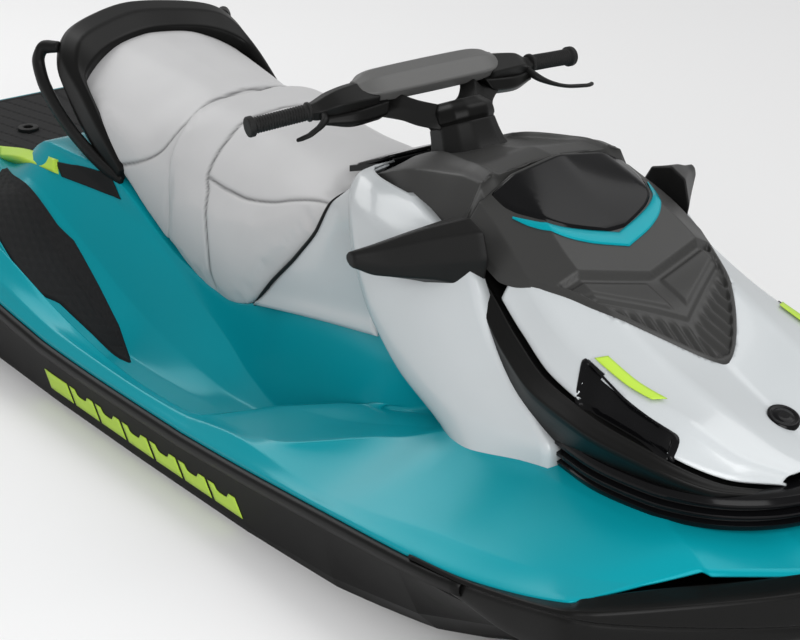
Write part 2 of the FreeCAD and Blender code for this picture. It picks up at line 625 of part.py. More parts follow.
def make_pump():
    outer_r = PUMP_BORE_R + PUMP_WALL
    body = aft_cylinder(outer_r, PUMP_FRONT, TRANSOM + 20).fuse(aft_cylinder(TUNNEL_R, PUMP_FRONT, PUMP_FRONT - 14))
    body = body.fuse(aft_cone(outer_r, VENTURI_OUT_R, TRANSOM + 20, TRANSOM - 18))
    body = body.fuse(aft_cylinder(VENTURI_OUT_R, TRANSOM - 17, VENTURI_END))
    body = body.cut(aft_cylinder(PUMP_BORE_R, PUMP_FRONT + 1, TRANSOM + 60))
    body = body.cut(aft_cone(PUMP_BORE_R, VENTURI_R, TRANSOM + 60.5, TRANSOM - 16))
    body = body.cut(aft_cylinder(VENTURI_R, TRANSOM - 15, VENTURI_END - 1))
    hub = aft_cylinder(HUB_R + 2, TRANSOM + 170, TRANSOM + 60).fuse(aft_cone(HUB_R + 2, 12, TRANSOM + 60, TRANSOM - 10))
    vanes = [box((TRANSOM + 70, TRANSOM + 160), (-2.5, 2.5), (PUMP_Z + 20, PUMP_Z + PUMP_BORE_R + 4))
             for _ in range(5)]
    for index, vane in enumerate(vanes):
        vane.rotate(V(0, 0, PUMP_Z), V(1, 0, 0), index * 72.0)
    for piece in [hub] + vanes:
        body = body.fuse(piece)
    for sign in (1, -1):
        lug = box((NOZZLE_PIVOT.x - 16, TRANSOM + 30), (-12, 12), (0, 11))
        lug.translate(V(0, 0, PUMP_Z + (outer_r - 11 if sign > 0 else -outer_r)))
        ear = box((NOZZLE_PIVOT.x - 16, TRANSOM + 30), (0, 12), (-14, 14))
        ear.translate(V(0, outer_r - 10 if sign > 0 else -outer_r - 2, PUMP_Z))
        pin = Part.makeCylinder(PIN_R, 26, NOZZLE_PIVOT + V(0, 0, (NOZZLE_R - 5) * sign), V(0, 0, sign))
        axle = Part.makeCylinder(PIN_R, 30, NOZZLE_PIVOT + V(0, (outer_r - 9) * sign, 0), V(0, sign, 0))
        for piece in (lug, ear, pin, axle):
            body = body.fuse(piece)
    return body


def make_nozzle():
    front = NOZZLE_PIVOT.x + 10
    back = NOZZLE_PIVOT.x - 92
    wall = NOZZLE_WALL
    body = aft_cylinder(NOZZLE_R + wall, front, front - 30).fuse(aft_cone(NOZZLE_R + wall, NOZZLE_OUT_R + wall, front - 30, back))
    body = body.cut(aft_cylinder(NOZZLE_R, front + 1, front - 30)).cut(aft_cone(NOZZLE_R, NOZZLE_OUT_R, front - 30, back - 1))
    hole = Part.makeCylinder(PIN_R + RUN_FIT, 300, NOZZLE_PIVOT + V(0, 0, -150), V(0, 0, 1))
    return body.cut(hole)


BUCKET_R = PUMP_BORE_R + 35.0
BUCKET_WALL = 9.0
BUCKET_HALF = PUMP_BORE_R + 25.0


def make_bucket():
    """Reverse bucket, stowed above the nozzle: a curved plate between two cheeks on the pump's ears."""
    low, high = 34.0, 98.0
    def at(radius, angle, y):
        turn = math.radians(angle)
        return NOZZLE_PIVOT + V(-radius * math.cos(turn), y, radius * math.sin(turn))
    def sector(inner, outer, y0, y1):
        middle = (low + high) / 2
        edges = [Part.Arc(at(outer, low, y0), at(outer, middle, y0), at(outer, high, y0)).toShape(),
                 Part.makeLine(at(outer, high, y0), at(inner, high, y0)),
                 Part.Arc(at(inner, high, y0), at(inner, middle, y0), at(inner, low, y0)).toShape(),
                 Part.makeLine(at(inner, low, y0), at(outer, low, y0))]
        return Part.Face(Part.Wire(edges)).extrude(V(0, y1 - y0, 0))
    body = sector(BUCKET_R, BUCKET_R + BUCKET_WALL, -BUCKET_HALF, BUCKET_HALF)
    for sign in (1, -1):
        y0 = BUCKET_HALF - 10 if sign > 0 else -BUCKET_HALF
        y1 = BUCKET_HALF if sign > 0 else 10 - BUCKET_HALF
        cheek = poly_solid([at(BUCKET_R + 3, low, y0), at(BUCKET_R + 3, high, y0), at(26, high + 30, y0),
                            at(18, 180, y0), at(18, 270, y0), at(26, 0, y0)], V(0, y1 - y0, 0))
        body = body.fuse(cheek)
    hole = Part.makeCylinder(PIN_R + RUN_FIT, 400, NOZZLE_PIVOT + V(0, -200, 0), V(0, 1, 0))
    return body.cut(hole)


def make_impeller():
    middle = PUMP_FRONT - 130
    hub = aft_cylinder(HUB_R, middle + 50, TRANSOM + 176).fuse(aft_cone(SHAFT_R, HUB_R, middle + 95, middle + 50))
    blades = []
    for index in range(3):
        blade = box((middle - 58, middle + 58), (-2.5, 2.5), (PUMP_Z + 26, PUMP_Z + PUMP_BORE_R + 20))
        blade.rotate(V(middle, 0, PUMP_Z), V(0, 0, 1), 48.0)
        blade.rotate(V(middle, 0, PUMP_Z), V(1, 0, 0), index * 120.0)
        blades.append(blade)
    swept = aft_cylinder(PUMP_BORE_R - TIP_GAP, middle + 60, middle - 60)
    body = hub
    for blade in blades:
        body = body.fuse(blade.common(swept))
    return body


impeller = make_impeller()
drive_shaft = Part.makeCylinder(SHAFT_R, ENGINE[0][0] - 5 - (PUMP_FRONT - 60), V(PUMP_FRONT - 60, 0, PUMP_Z), V(1, 0, 0))
pump_housing = make_pump()
save("pump_housing", pump_housing)
save("steering_nozzle", make_nozzle())
save("reverse_bucket", make_bucket())
save("impeller", impeller)
save("drive_shaft", drive_shaft.cut(impeller))


def hull_bottom(x, y):
    """Height of the bottom at a place between keel and chine."""
    keel, chine_y, chine_z = (mixed(HULL, x, column) for column in (1, 2, 3))
    return keel + (chine_z - keel) * abs(y) / y_at(chine_y)


def make_ride_plate():
    wires = []
    for x in (TRANSOM, TUNNEL_FRONT - 16):
        wires.append(Part.makePolygon([V(x, side * y, hull_bottom(x / LX, y) + lift) for side, y, lift in (
            (1, 0, -6), (1, TUNNEL_R, -6), (1, TUNNEL_R, 4), (1, 0, 4), (-1, TUNNEL_R, 4), (-1, TUNNEL_R, -6),
            (1, 0, -6))]))
    return loft(wires).cut(pump_housing)


def make_grate():
    bars = []
    for y in (-76, -38, 0, 38, 76):
        low = [hull_bottom(x / LX, y) for x in (GRATE_BACK, GRATE_FRONT)]
        bars.append(poly_solid([V(GRATE_BACK, y - 4, low[0]), V(GRATE_FRONT, y - 4, low[1]),
                                V(GRATE_FRONT, y - 4, low[1] + 18), V(GRATE_BACK, y - 4, low[0] + 18)], V(0, 8, 0)))
    tie = box((GRATE_BACK + 200, GRATE_BACK + 214), (-GRATE_HALF, GRATE_HALF), (-226, -212))
    return fuse([tie] + bars).cut(hull)


save("ride_plate", make_ride_plate())
save("intake_grate", make_grate())


# ---------------------------------------------------------------- sponsons, mats, handle, eyes and anchors
def make_sponson():
    wires = []
    for x, grow in ((-1340, 0.5), (-1240, 1.0), (-860, 1.0), (-700, 0.4)):
        chine_y = mixed(HULL, x, 2)
        ring = [(chine_y - 20, -60), (chine_y + 22 * grow + 14, -66), (chine_y + 44 * grow + 16, -10),
                (chine_y + 30 * grow + 20, 38 * grow), (chine_y - 10, 38 * grow)]
        wires.append(Part.makePolygon([V(x_at(x), y_at(y), z) for y, z in ring + ring[:1]]))
    return main_piece(loft(wires).cut(hull))


sponson = make_sponson()
save("sponson_left", sponson)
save("sponson_right", mirror(sponson))


def make_rear_mat():
    wires = []
    for x in (-1622, -1400, -1160):
        inner_y, inner_z, centre = (mixed(DECK, x, column) for column in (7, 8, 9))
        edge = deck_top(x, 292)
        wires.append(half_section(x, [(0, centre - 4), (inner_y, inner_z - 4), (292, edge - 4), (292, edge + MAT_THICK),
                                      (inner_y, inner_z + MAT_THICK), (0, centre + MAT_THICK)]))
    return loft(wires)


ANCHOR_X = -1330
ANCHOR_Y = 150
ANCHOR_BORE_R = 12.5
ANCHOR_HIGH = 16.0
anchors = []
for sign in (1, -1):
    seat_z = deck_top(ANCHOR_X, ANCHOR_Y)
    ring = Part.makeCylinder(27, ANCHOR_HIGH + 6, V(x_at(ANCHOR_X), sign * y_at(ANCHOR_Y), seat_z - 6))
    anchors.append(ring)
anchor_bores = [Part.makeCylinder(ANCHOR_BORE_R, 60, V(x_at(ANCHOR_X), sign * y_at(ANCHOR_Y),
                                                       deck_top(ANCHOR_X, ANCHOR_Y) + 3)) for sign in (1, -1)]
anchor_set = Part.makeCompound([ring.cut(deck).cut(bore) for ring, bore in zip(anchors, anchor_bores)])
rear_mat = make_rear_mat().cut(deck).cut(anchors[0]).cut(anchors[1])
save("rear_deck_mat", main_piece(rear_mat))
save("deck_anchors", anchor_set)


def make_footwell_mat():
    wires = []
    for row in DECK:
        x, valley_y, valley_z, inner_y, inner_z = row[0], *row[5:9]
        if -960 <= x <= 150:
            ring = [(valley_y - 8, valley_z - 4), (valley_y - 8, valley_z + MAT_THICK),
                    (inner_y - 45, inner_z + MAT_THICK), (inner_y - 45, inner_z - 4)]
            wires.append(Part.makePolygon([V(x_at(x), y_at(y), z) for y, z in ring + ring[:1]]))
    return main_piece(loft(wires).cut(deck).cut(seat_base))


footwell_mat = make_footwell_mat()
save("footwell_mat_left", footwell_mat)
save("footwell_mat_right", mirror(footwell_mat))


# x, z of the handle's hoop in side view, outside and inside, and of the surround's cheek
HOOP_OUT = [(-1000, 555), (-1034, 602), (-990, 622), (-900, 590), (-750, 548), (-696, 492), (-640, 380), (-720, 392),
            (-900, 470)]
HOOP_IN = [(-968, 545), (-982, 590), (-900, 556), (-776, 520), (-742, 478), (-780, 448), (-900, 500)]
CHEEK = [(-1046, 560), (-1034, 622), (-960, 640), (-870, 604), (-812, 560), (-740, 470), (-650, 396), (-700, 376),
         (-860, 440), (-960, 500)]
# x, z of the window through both
WINDOW = [(-968, 535), (-985, 592), (-880, 552), (-862, 512), (-900, 500)]
# x, z of the handle's top over the seat's rear edge: at the middle, at the half width and at the shoulder
RIM = [(0, [(-1076, 650), (-1062, 694), (-955, 652), (-968, 616)]),
       (150, [(-1060, 636), (-1046, 680), (-925, 634), (-938, 596)]),
       (228, [(-1034, 590), (-1022, 646), (-880, 606), (-896, 560)])]


def side_plate(points, low_y, high_y):
    return poly_solid([V(x_at(x), low_y, z) for x, z in points], V(0, high_y - low_y, 0))


def make_grab_handle():
    """Rim over the rear of the seat, a cheek down each side of it and a hoop outside each cheek."""
    rim = loft([Part.makePolygon([V(x_at(x), y, z) for x, z in ring + ring[:1]]) for y, ring in RIM])
    cheek = side_plate(CHEEK, 222, 240).cut(side_plate(WINDOW, 210, 250))
    hoop = side_plate(HOOP_OUT, 240, 262).cut(side_plate(HOOP_IN, 230, 270))
    pieces = [piece for half in (rim, cheek, hoop) for piece in (half, mirror(half))]
    return fuse(pieces).cut(deck).cut(seat_base).cut(seat_passenger)


save("grab_handle", main_piece(make_grab_handle()))

bow_plate = Part.makeCylinder(24, 12, V(x_at(1586), -6, 140), V(0, 1, 0)).fuse(
    box((x_at(1500), x_at(1586)), (-6, 6), (120, 160))).cut(hull)
bow_plate = bow_plate.cut(Part.makeCylinder(EYE_BORE_R, 40, V(x_at(1586), -20, 140), V(0, 1, 0)))
save("bow_eye", main_piece(bow_plate))
for name, sign in (("stern_eye_left", 1), ("stern_eye_right", -1)):
    eye_y = sign * y_at(380)
    plate = Part.makeCylinder(22, 12, V(TRANSOM - 26, eye_y, 94)).fuse(
        box((TRANSOM - 26, TRANSOM), (eye_y - 22, eye_y + 22), (94, 106)))
    save(name, plate.cut(Part.makeCylinder(EYE_BORE_R, 40, V(TRANSOM - 26, eye_y, 80))))
save("deck", deck)
for name, shape in PARTS.items():
    if not shape.isValid() or len(shape.Solids) != 1:
        print(name, "valid", shape.isValid(), "solids", len(shape.Solids))
print(len(PARTS), "nodes, solid volume", round(sum(s.Volume for s in PARTS.values()) / 1e9, 3), "m3")
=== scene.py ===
# %% [markdown]
# # A personal watercraft, surface by surface
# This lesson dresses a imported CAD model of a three-seat jet-pump craft. The CAD holds the sizes, the hinges
# and the mounts. Every visible skin here is a surface worked out with numpy: a table names the fold lines
# that a moulder would draw, a spline runs each line from stern to bow, and facets span from line to line.

# %% Load the frame
import math
from contextlib import contextmanager

import bmesh
import bpy
import numpy as np
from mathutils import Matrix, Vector
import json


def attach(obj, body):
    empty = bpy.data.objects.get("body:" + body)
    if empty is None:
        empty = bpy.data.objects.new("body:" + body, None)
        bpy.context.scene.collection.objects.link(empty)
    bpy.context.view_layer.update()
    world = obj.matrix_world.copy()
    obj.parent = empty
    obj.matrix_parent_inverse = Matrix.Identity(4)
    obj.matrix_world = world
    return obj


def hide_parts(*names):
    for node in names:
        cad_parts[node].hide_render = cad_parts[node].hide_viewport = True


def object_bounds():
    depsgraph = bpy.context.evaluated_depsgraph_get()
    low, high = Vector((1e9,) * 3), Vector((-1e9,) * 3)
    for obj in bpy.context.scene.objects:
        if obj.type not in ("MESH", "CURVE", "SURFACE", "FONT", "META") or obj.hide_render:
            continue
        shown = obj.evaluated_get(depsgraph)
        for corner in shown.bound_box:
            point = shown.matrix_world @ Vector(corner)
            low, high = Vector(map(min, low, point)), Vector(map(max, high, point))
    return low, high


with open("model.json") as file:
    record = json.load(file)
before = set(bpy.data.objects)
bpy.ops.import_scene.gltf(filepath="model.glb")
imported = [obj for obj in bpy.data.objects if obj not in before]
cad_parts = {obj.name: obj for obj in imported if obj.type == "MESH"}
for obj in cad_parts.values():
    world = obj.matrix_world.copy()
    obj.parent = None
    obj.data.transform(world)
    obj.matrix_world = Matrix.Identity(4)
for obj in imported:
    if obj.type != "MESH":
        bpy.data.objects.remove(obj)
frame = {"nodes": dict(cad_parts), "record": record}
cad_low, cad_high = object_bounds()
nodes = frame["nodes"]
DRAWN_LENGTH = 3320.0
UNIT = (cad_high[0] - cad_low[0]) / DRAWN_LENGTH   # one drawn millimetre, in metres
print("craft", [round(b - a, 3) for a, b in zip(cad_low, cad_high)], "unit", round(UNIT, 6))


# %% [markdown]
# A fold line on a moulded craft is fair: it never wiggles between its stations. A monotone cubic keeps that
# promise, because its slopes are the harmonic means of the steps on either side, and fall to zero where the
# line turns back. An ordinary spline would overshoot where a long flat run meets a short steep one.

# %% Fair lines through stations
def fair(stations, values, per):
    """Monotone cubic through rows of values at rising stations; per samples from each station to the next."""
    t = np.asarray(stations, float)
    v = np.asarray(values, float).reshape(len(t), -1)
    gap = np.diff(t)[:, None]
    rise = np.diff(v, axis=0) / gap
    slope = np.vstack([rise[:1], np.zeros_like(rise[1:]), rise[-1:]])
    before, after = rise[:-1], rise[1:]
    wide, narrow = 2 * gap[1:] + gap[:-1], gap[1:] + 2 * gap[:-1]
    same = before * after > 1e-18
    safe_before, safe_after = np.where(same, before, 1.0), np.where(same, after, 1.0)
    mean = (wide + narrow) / (wide / safe_before + narrow / safe_after)
    slope[1:-1] = np.where(same, mean, 0.0)
    s = np.linspace(0, 1, per, endpoint=False)[None, :, None]
    p0, p1 = v[:-1, None], v[1:, None]
    m0, m1 = (slope[:-1] * gap)[:, None], (slope[1:] * gap)[:, None]
    body = ((2 * s ** 3 - 3 * s ** 2 + 1) * p0 + (s ** 3 - 2 * s ** 2 + s) * m0
            + (-2 * s ** 3 + 3 * s ** 2) * p1 + (s ** 3 - s ** 2) * m1)
    return np.vstack([body.reshape(-1, v.shape[1]), v[-1:]])


def fair_path(points, per):
    """Fair line through points at even stations."""
    return fair(np.arange(len(points)), points, per)


def step(value, low, high):
    """Smooth step from 0 to 1 between low and high: t^2 (3 - 2 t)."""
    t = np.clip((value - low) / (high - low), 0, 1)
    return t * t * (3 - 2 * t)


def unit_rows(vectors):
    """Each vector over its own length."""
    length = np.linalg.norm(vectors, axis=-1, keepdims=True)
    return vectors / np.maximum(length, 1e-9)


# %% [markdown]
# The shells of such a craft are folded: broad facets meet in lines with a small round. `folded` makes the
# facet between two neighbouring lines as a ruled surface, pushes its middle out by a bulge, and keeps a
# narrow strip beside each line. Pulling the line itself a little towards its two strips rounds the fold, as
# the tool's radius does, and that thin highlight is what makes a moulding look real.

# %% Folded shells
def folded(lines, bulges, across, round_mm):
    """Grid of points from fold lines (line, sample, xyz): between two lines p = a + s(b - a) + 4 s(1 - s) bulge n."""
    lines = np.asarray(lines, float)
    count = len(lines) - 1
    bulges = np.broadcast_to(bulges, (count,)) * UNIT
    columns = [lines[0][:, None]]
    folds = []
    for a, b, bulge in zip(lines[:-1], lines[1:], bulges):
        width = np.linalg.norm(b - a, axis=1, keepdims=True)
        strip = np.minimum(round_mm * UNIT / np.maximum(width, 1e-6), 0.3)
        inner = np.linspace(0, 1, across)[None, :]
        s = np.concatenate([strip + (1 - 2 * strip) * inner, np.ones_like(strip)], axis=1)[..., None]
        along = np.gradient(a + b, axis=0)
        normal = unit_rows(np.cross(along, b - a))[:, None]
        columns.append(a[:, None] + (b - a)[:, None] * s + 4 * s * (1 - s) * bulge * normal)
        folds.append(sum(c.shape[1] for c in columns) - 1)
    grid = np.concatenate(columns, axis=1)
    for column in folds[:-1]:
        grid[:, column] = 0.5 * grid[:, column] + 0.25 * (grid[:, column - 1] + grid[:, column + 1])
    return grid


MIRROR = np.array([1.0, -1.0, 1.0])
SIDES = (("left", 1.0), ("right", -1.0))


def both_sides(half):
    """Port half's grid, joined to its mirror at the last column, which lies in the middle plane."""
    return np.concatenate([half, half[:, -2::-1] * MIRROR], axis=1)


def pair(grid):
    """A grid and its mirror image, as two separate skins."""
    return [grid, grid * MIRROR]


def evenly(rows, columns, low=0.0):
    """Two arrays of even shares over a grid: 0 to 1 along the rows, low to 1 along the columns."""
    return np.meshgrid(np.linspace(0, 1, rows), np.linspace(low, 1, columns), indexing="ij")


def points_at(x, y, z):
    """Grid of points in metres from x, y and z in drawn millimetres."""
    return np.stack(np.broadcast_arrays(x, y, z), axis=2) * UNIT


# %% Grid to mesh
def quads(rows, columns, wrap):
    """Index quads of a rows by columns grid, as one array; wrap joins the last column to the first."""
    c = np.arange(columns if wrap else columns - 1)
    r0, c0 = (part.ravel() for part in np.meshgrid(np.arange(rows - 1), c, indexing="ij"))
    r1, c1 = r0 + 1, (c0 + 1) % columns
    return np.stack([r0 * columns + c0, r1 * columns + c0, r1 * columns + c1, r0 * columns + c1], axis=1)


def surface(name, grids, wrap=False):
    """Smooth-shaded object of one grid or several, its points in the row frame."""
    grids = [grids] if isinstance(grids, np.ndarray) else grids
    points, faces, start = [], [], 0
    for grid in grids:
        rows, columns = grid.shape[:2]
        points.append(grid.reshape(-1, 3))
        faces.append(quads(rows, columns, wrap) + start)
        start += rows * columns
    faces = np.concatenate(faces)
    mesh = bpy.data.meshes.new(name)
    mesh.from_pydata(np.concatenate(points), [], faces.tolist())
    mesh.polygons.foreach_set("use_smooth", np.ones(len(faces), bool))
    obj = bpy.data.objects.new(name, mesh)
    bpy.context.scene.collection.objects.link(obj)
    return obj


@contextmanager
def edited(obj):
    """An object's mesh as a bmesh, written back afterwards."""
    work = bmesh.new()
    work.from_mesh(obj.data)
    yield work
    work.to_mesh(obj.data)
    work.free()


def tidy(obj, merge=0.00005, toward=None):
    """Merges doubled points, closes poles and turns the faces outwards, or on an open skin towards a direction."""
    with edited(obj) as work:
        bmesh.ops.remove_doubles(work, verts=work.verts, dist=merge)
        bmesh.ops.dissolve_degenerate(work, edges=work.edges, dist=1e-6)
        bmesh.ops.recalc_face_normals(work, faces=work.faces)
    if toward is not None:
        normals, areas = np.empty(len(obj.data.polygons) * 3), np.empty(len(obj.data.polygons))
        obj.data.polygons.foreach_get("normal", normals)
        obj.data.polygons.foreach_get("area", areas)
        if areas @ (normals.reshape(-1, 3) @ np.asarray(toward, float)) < 0:
            obj.data.flip_normals()
    return obj


def open_up(obj, faces_out):
    """Deletes the faces whose centres the function faces_out marks."""
    centres = np.empty(len(obj.data.polygons) * 3)
    obj.data.polygons.foreach_get("center", centres)
    marked = np.flatnonzero(faces_out(centres.reshape(-1, 3) / UNIT))
    with edited(obj) as work:
        work.faces.ensure_lookup_table()
        bmesh.ops.delete(work, geom=[work.faces[index] for index in marked.tolist()], context="FACES")


def wall(obj, thick_mm, offset=-1.0):
    """Gives an open skin its thickness, inwards from the drawn surface."""
    solid = obj.modifiers.new("wall", "SOLIDIFY")
    solid.thickness = thick_mm * UNIT
    solid.offset = offset
    solid.use_even_offset = False
    return obj


def skin(name, grids, toward, thick_mm, cuts=(), wrap=False):
    """Open skin of one grid or several: faces turned towards a direction, opened at the cuts, with its wall."""
    obj = tidy(surface(name, grids, wrap), toward=toward)
    for cut in cuts:
        open_up(obj, cut)
    return wall(obj, thick_mm)


UP, AHEAD = (0, 0, 1), (1, 0, 0.3)


# %% [markdown]
# Bars, arms, pods and posts are lofts: a few rings of corners, which a fair line joins ring to ring. A real
# moulding has no sharp corner, so each corner becomes a small arc before the skin is made, and each end is
# drawn in over a dome of the same size.

# %% Rounded lofts
def rounded(rings, round_mm, steps=4):
    """Corners become arcs p(s) = (1 - s)^2 a + 2 s (1 - s) corner + s^2 b, with a and b round_mm along its edges."""
    before, after = np.roll(rings, 1, axis=1) - rings, np.roll(rings, -1, axis=1) - rings
    reach = []
    for edge in (before, after):
        length = np.linalg.norm(edge, axis=2, keepdims=True)
        reach.append(edge / np.maximum(length, 1e-9) * np.minimum(round_mm * UNIT, 0.4 * length))
    a, b = rings + reach[0], rings + reach[1]
    s = np.linspace(0, 1, steps + 1)[None, None, :, None]
    arc = (1 - s) ** 2 * a[:, :, None] + 2 * s * (1 - s) * rings[:, :, None] + s ** 2 * b[:, :, None]
    lead, trail = (rings + 1.2 * part for part in reach)
    return np.concatenate([lead[:, :, None], arc, trail[:, :, None]], axis=2).reshape(len(rings), -1, 3)


def closed_ends(rings, dome_mm):
    """Adds rings that shrink over a quarter circle of dome_mm to a flat end, and meet in a point."""
    def end(ring, inner):
        centre = ring.mean(axis=0)
        away = unit_rows(centre - inner.mean(axis=0))
        size = np.linalg.norm(ring - centre, axis=1).mean()
        dome = min(dome_mm * UNIT, 0.6 * size)
        turn = np.radians([30.0, 60.0, 90.0, 90.0, 90.0])
        scale = 1 - dome / size * (1 - np.cos(turn))
        scale[3:] *= (0.6, 0.0)
        return centre + (ring - centre) * scale[:, None, None] + away * (dome * np.sin(turn))[:, None, None]
    return np.concatenate([end(rings[0], rings[1])[::-1], rings, end(rings[-1], rings[-2])])


def ringed(name, rings, dome_mm, mirrored):
    """Closed skin through finished rings, alone or with its mirror image."""
    rings = closed_ends(rings, dome_mm)
    return tidy(surface(name, pair(rings) if mirrored else rings, wrap=True))


def loft(name, sections, per, round_mm, dome_mm, mirrored=False):
    """Closed skin through rings of corners (ring, corner, xyz) in drawn millimetres."""
    flat = fair_path(sections, per)
    return ringed(name, rounded(flat.reshape(len(flat), -1, 3) * UNIT, round_mm), dome_mm, mirrored)


def tube(name, path, radii, around, per=6, dome_mm=3.0, mirrored=False, up=UP):
    """Tube of ellipses along a fair path in drawn mm; radii gives half width and half height at each point."""
    line = fair_path(np.hstack([path, np.broadcast_to(radii, (len(path), 2))]), per) * UNIT
    centre, size = line[:, :3], line[:, 3:]
    forward = unit_rows(np.gradient(centre, axis=0))
    side = unit_rows(np.cross(forward, np.asarray(up, float)))
    rise = np.cross(side, forward)
    turn = np.linspace(0, 2 * np.pi, around, endpoint=False)
    rings = (centre[:, None] + side[:, None] * (size[:, :1] * np.cos(turn))[..., None]
             + rise[:, None] * (size[:, 1:] * np.sin(turn))[..., None])
    return ringed(name, rings, dome_mm, mirrored)


def finish_piece(obj, body, finish, *replaced, slot=None):
    """Finish and body of a piece, and the CAD nodes it stands for, which it hides; slot is not used."""
    obj.data.materials.clear()
    obj.data.materials.append(LOOKS[finish])
    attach(obj, body)
    if replaced:
        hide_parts(*replaced)
    print(obj.name, "faces", len(obj.data.polygons), "on", body)
    return obj


# %% [markdown]
# ## Finishes
# Two effects turn up in almost every finish of this craft. A tool leaves a fine grain in bare plastic, vinyl
# and foam, and no large moulding has the same tone and gloss all over. Each effect is a node group with named
# inputs, built once here, so that one edit changes it wherever it is used.

# %% Node groups: grain and uneven tone
def shader_group(name, inputs, outputs):
    """Empty shader node group with float or colour sockets, and its two end nodes."""
    tree = bpy.data.node_groups.new(name, "ShaderNodeTree")
    for label, value in inputs:
        kind = "NodeSocketColor" if isinstance(value, tuple) else "NodeSocketFloat"
        tree.interface.new_socket(name=label, in_out="INPUT", socket_type=kind).default_value = value
    for label, kind in outputs:
        tree.interface.new_socket(name=label, in_out="OUTPUT", socket_type=kind)
    return tree, tree.nodes.new("NodeGroupInput"), tree.nodes.new("NodeGroupOutput")


def maths(tree, operation, a, b):
    """Math node with its two inputs linked or set; returns its output."""
    node = tree.nodes.new("ShaderNodeMath")
    node.operation = operation
    for socket, value in zip(node.inputs, (a, b)):
        if isinstance(value, (int, float)):
            socket.default_value = value
        else:
            tree.links.new(value, socket)
    return node.outputs[0]


def make_grain():
    """Height of a tool's grain: fine cells with a softer noise over them."""
    tree, start, end = shader_group("tool_grain", [("Scale", 900.0), ("Depth", 1.0)], [("Height", "NodeSocketFloat")])
    place = tree.nodes.new("ShaderNodeTexCoord")
    cells = tree.nodes.new("ShaderNodeTexVoronoi")
    soft = tree.nodes.new("ShaderNodeTexNoise")
    soft.inputs["Detail"].default_value = 3.0
    for node in (cells, soft):
        tree.links.new(place.outputs["Object"], node.inputs["Vector"])
    tree.links.new(start.outputs["Scale"], cells.inputs["Scale"])
    tree.links.new(maths(tree, "MULTIPLY", start.outputs["Scale"], 0.35), soft.inputs["Scale"])
    both = maths(tree, "ADD", cells.outputs["Distance"], soft.outputs["Fac"])
    tree.links.new(maths(tree, "MULTIPLY", both, start.outputs["Depth"]), end.inputs["Height"])
    return tree


def make_uneven_tone():
    """Colour and roughness that drift a little over a large moulding."""
    tree, start, end = shader_group("uneven_tone", [("Color", (0.5, 0.5, 0.5, 1)), ("Drift", 0.06), ("Gloss", 0.3),
                                                    ("Scale", 3.0)],
                                    [("Color", "NodeSocketColor"), ("Roughness", "NodeSocketFloat")])
    place = tree.nodes.new("ShaderNodeTexCoord")
    noise = tree.nodes.new("ShaderNodeTexNoise")
    noise.inputs["Detail"].default_value = 5.0
    tree.links.new(place.outputs["Object"], noise.inputs["Vector"])
    tree.links.new(start.outputs["Scale"], noise.inputs["Scale"])
    swing = maths(tree, "MULTIPLY", maths(tree, "SUBTRACT", noise.outputs["Fac"], 0.5), start.outputs["Drift"])
    tone = tree.nodes.new("ShaderNodeHueSaturation")
    tree.links.new(maths(tree, "ADD", maths(tree, "MULTIPLY", swing, 2.0), 1.0), tone.inputs["Value"])
    tree.links.new(start.outputs["Color"], tone.inputs["Color"])
    tree.links.new(tone.outputs["Color"], end.inputs["Color"])
    tree.links.new(maths(tree, "ADD", start.outputs["Gloss"], swing), end.inputs["Roughness"])
    return tree


GRAIN = make_grain()
UNEVEN = make_uneven_tone()
print("groups", GRAIN.name, UNEVEN.name)


# %% A finish: one shader fed by the groups
def finish_of(name, color, gloss, specular, drift, drift_scale, grain_mm=0.0, grain_scale=0.0, others=()):
    """Material with a Principled shader; gloss is its roughness, and others sets any other of its inputs."""
    material = bpy.data.materials.new(name)
    material.use_nodes = True
    tree = material.node_tree
    shader = tree.nodes["Principled BSDF"]
    uneven = tree.nodes.new("ShaderNodeGroup")
    uneven.node_tree = UNEVEN
    for label, value in (("Color", (*color, 1)), ("Drift", drift), ("Gloss", gloss), ("Scale", drift_scale)):
        uneven.inputs[label].default_value = value
    tree.links.new(uneven.outputs["Color"], shader.inputs["Base Color"])
    tree.links.new(uneven.outputs["Roughness"], shader.inputs["Roughness"])
    if grain_mm:
        texture = tree.nodes.new("ShaderNodeGroup")
        texture.node_tree = GRAIN
        texture.inputs["Scale"].default_value = grain_scale
        bump = tree.nodes.new("ShaderNodeBump")
        bump.inputs["Distance"].default_value = grain_mm / 1000
        tree.links.new(texture.outputs["Height"], bump.inputs["Height"])
        tree.links.new(bump.outputs["Normal"], shader.inputs["Normal"])
    for label, value in {"Specular IOR Level": specular, **dict(others)}.items():
        shader.inputs[label].default_value = value
    return material


# %% [markdown]
# The deck is gelcoat over a sandwich skin: deep colour under a clear, hard, glossy coat. The hull is the same
# mass-coloured black throughout, a little duller. Covers, rails and pump guards are bare moulded plastic, and
# the seat is embossed vinyl. Gloss differs far more between these than colour does, so it is set with care.

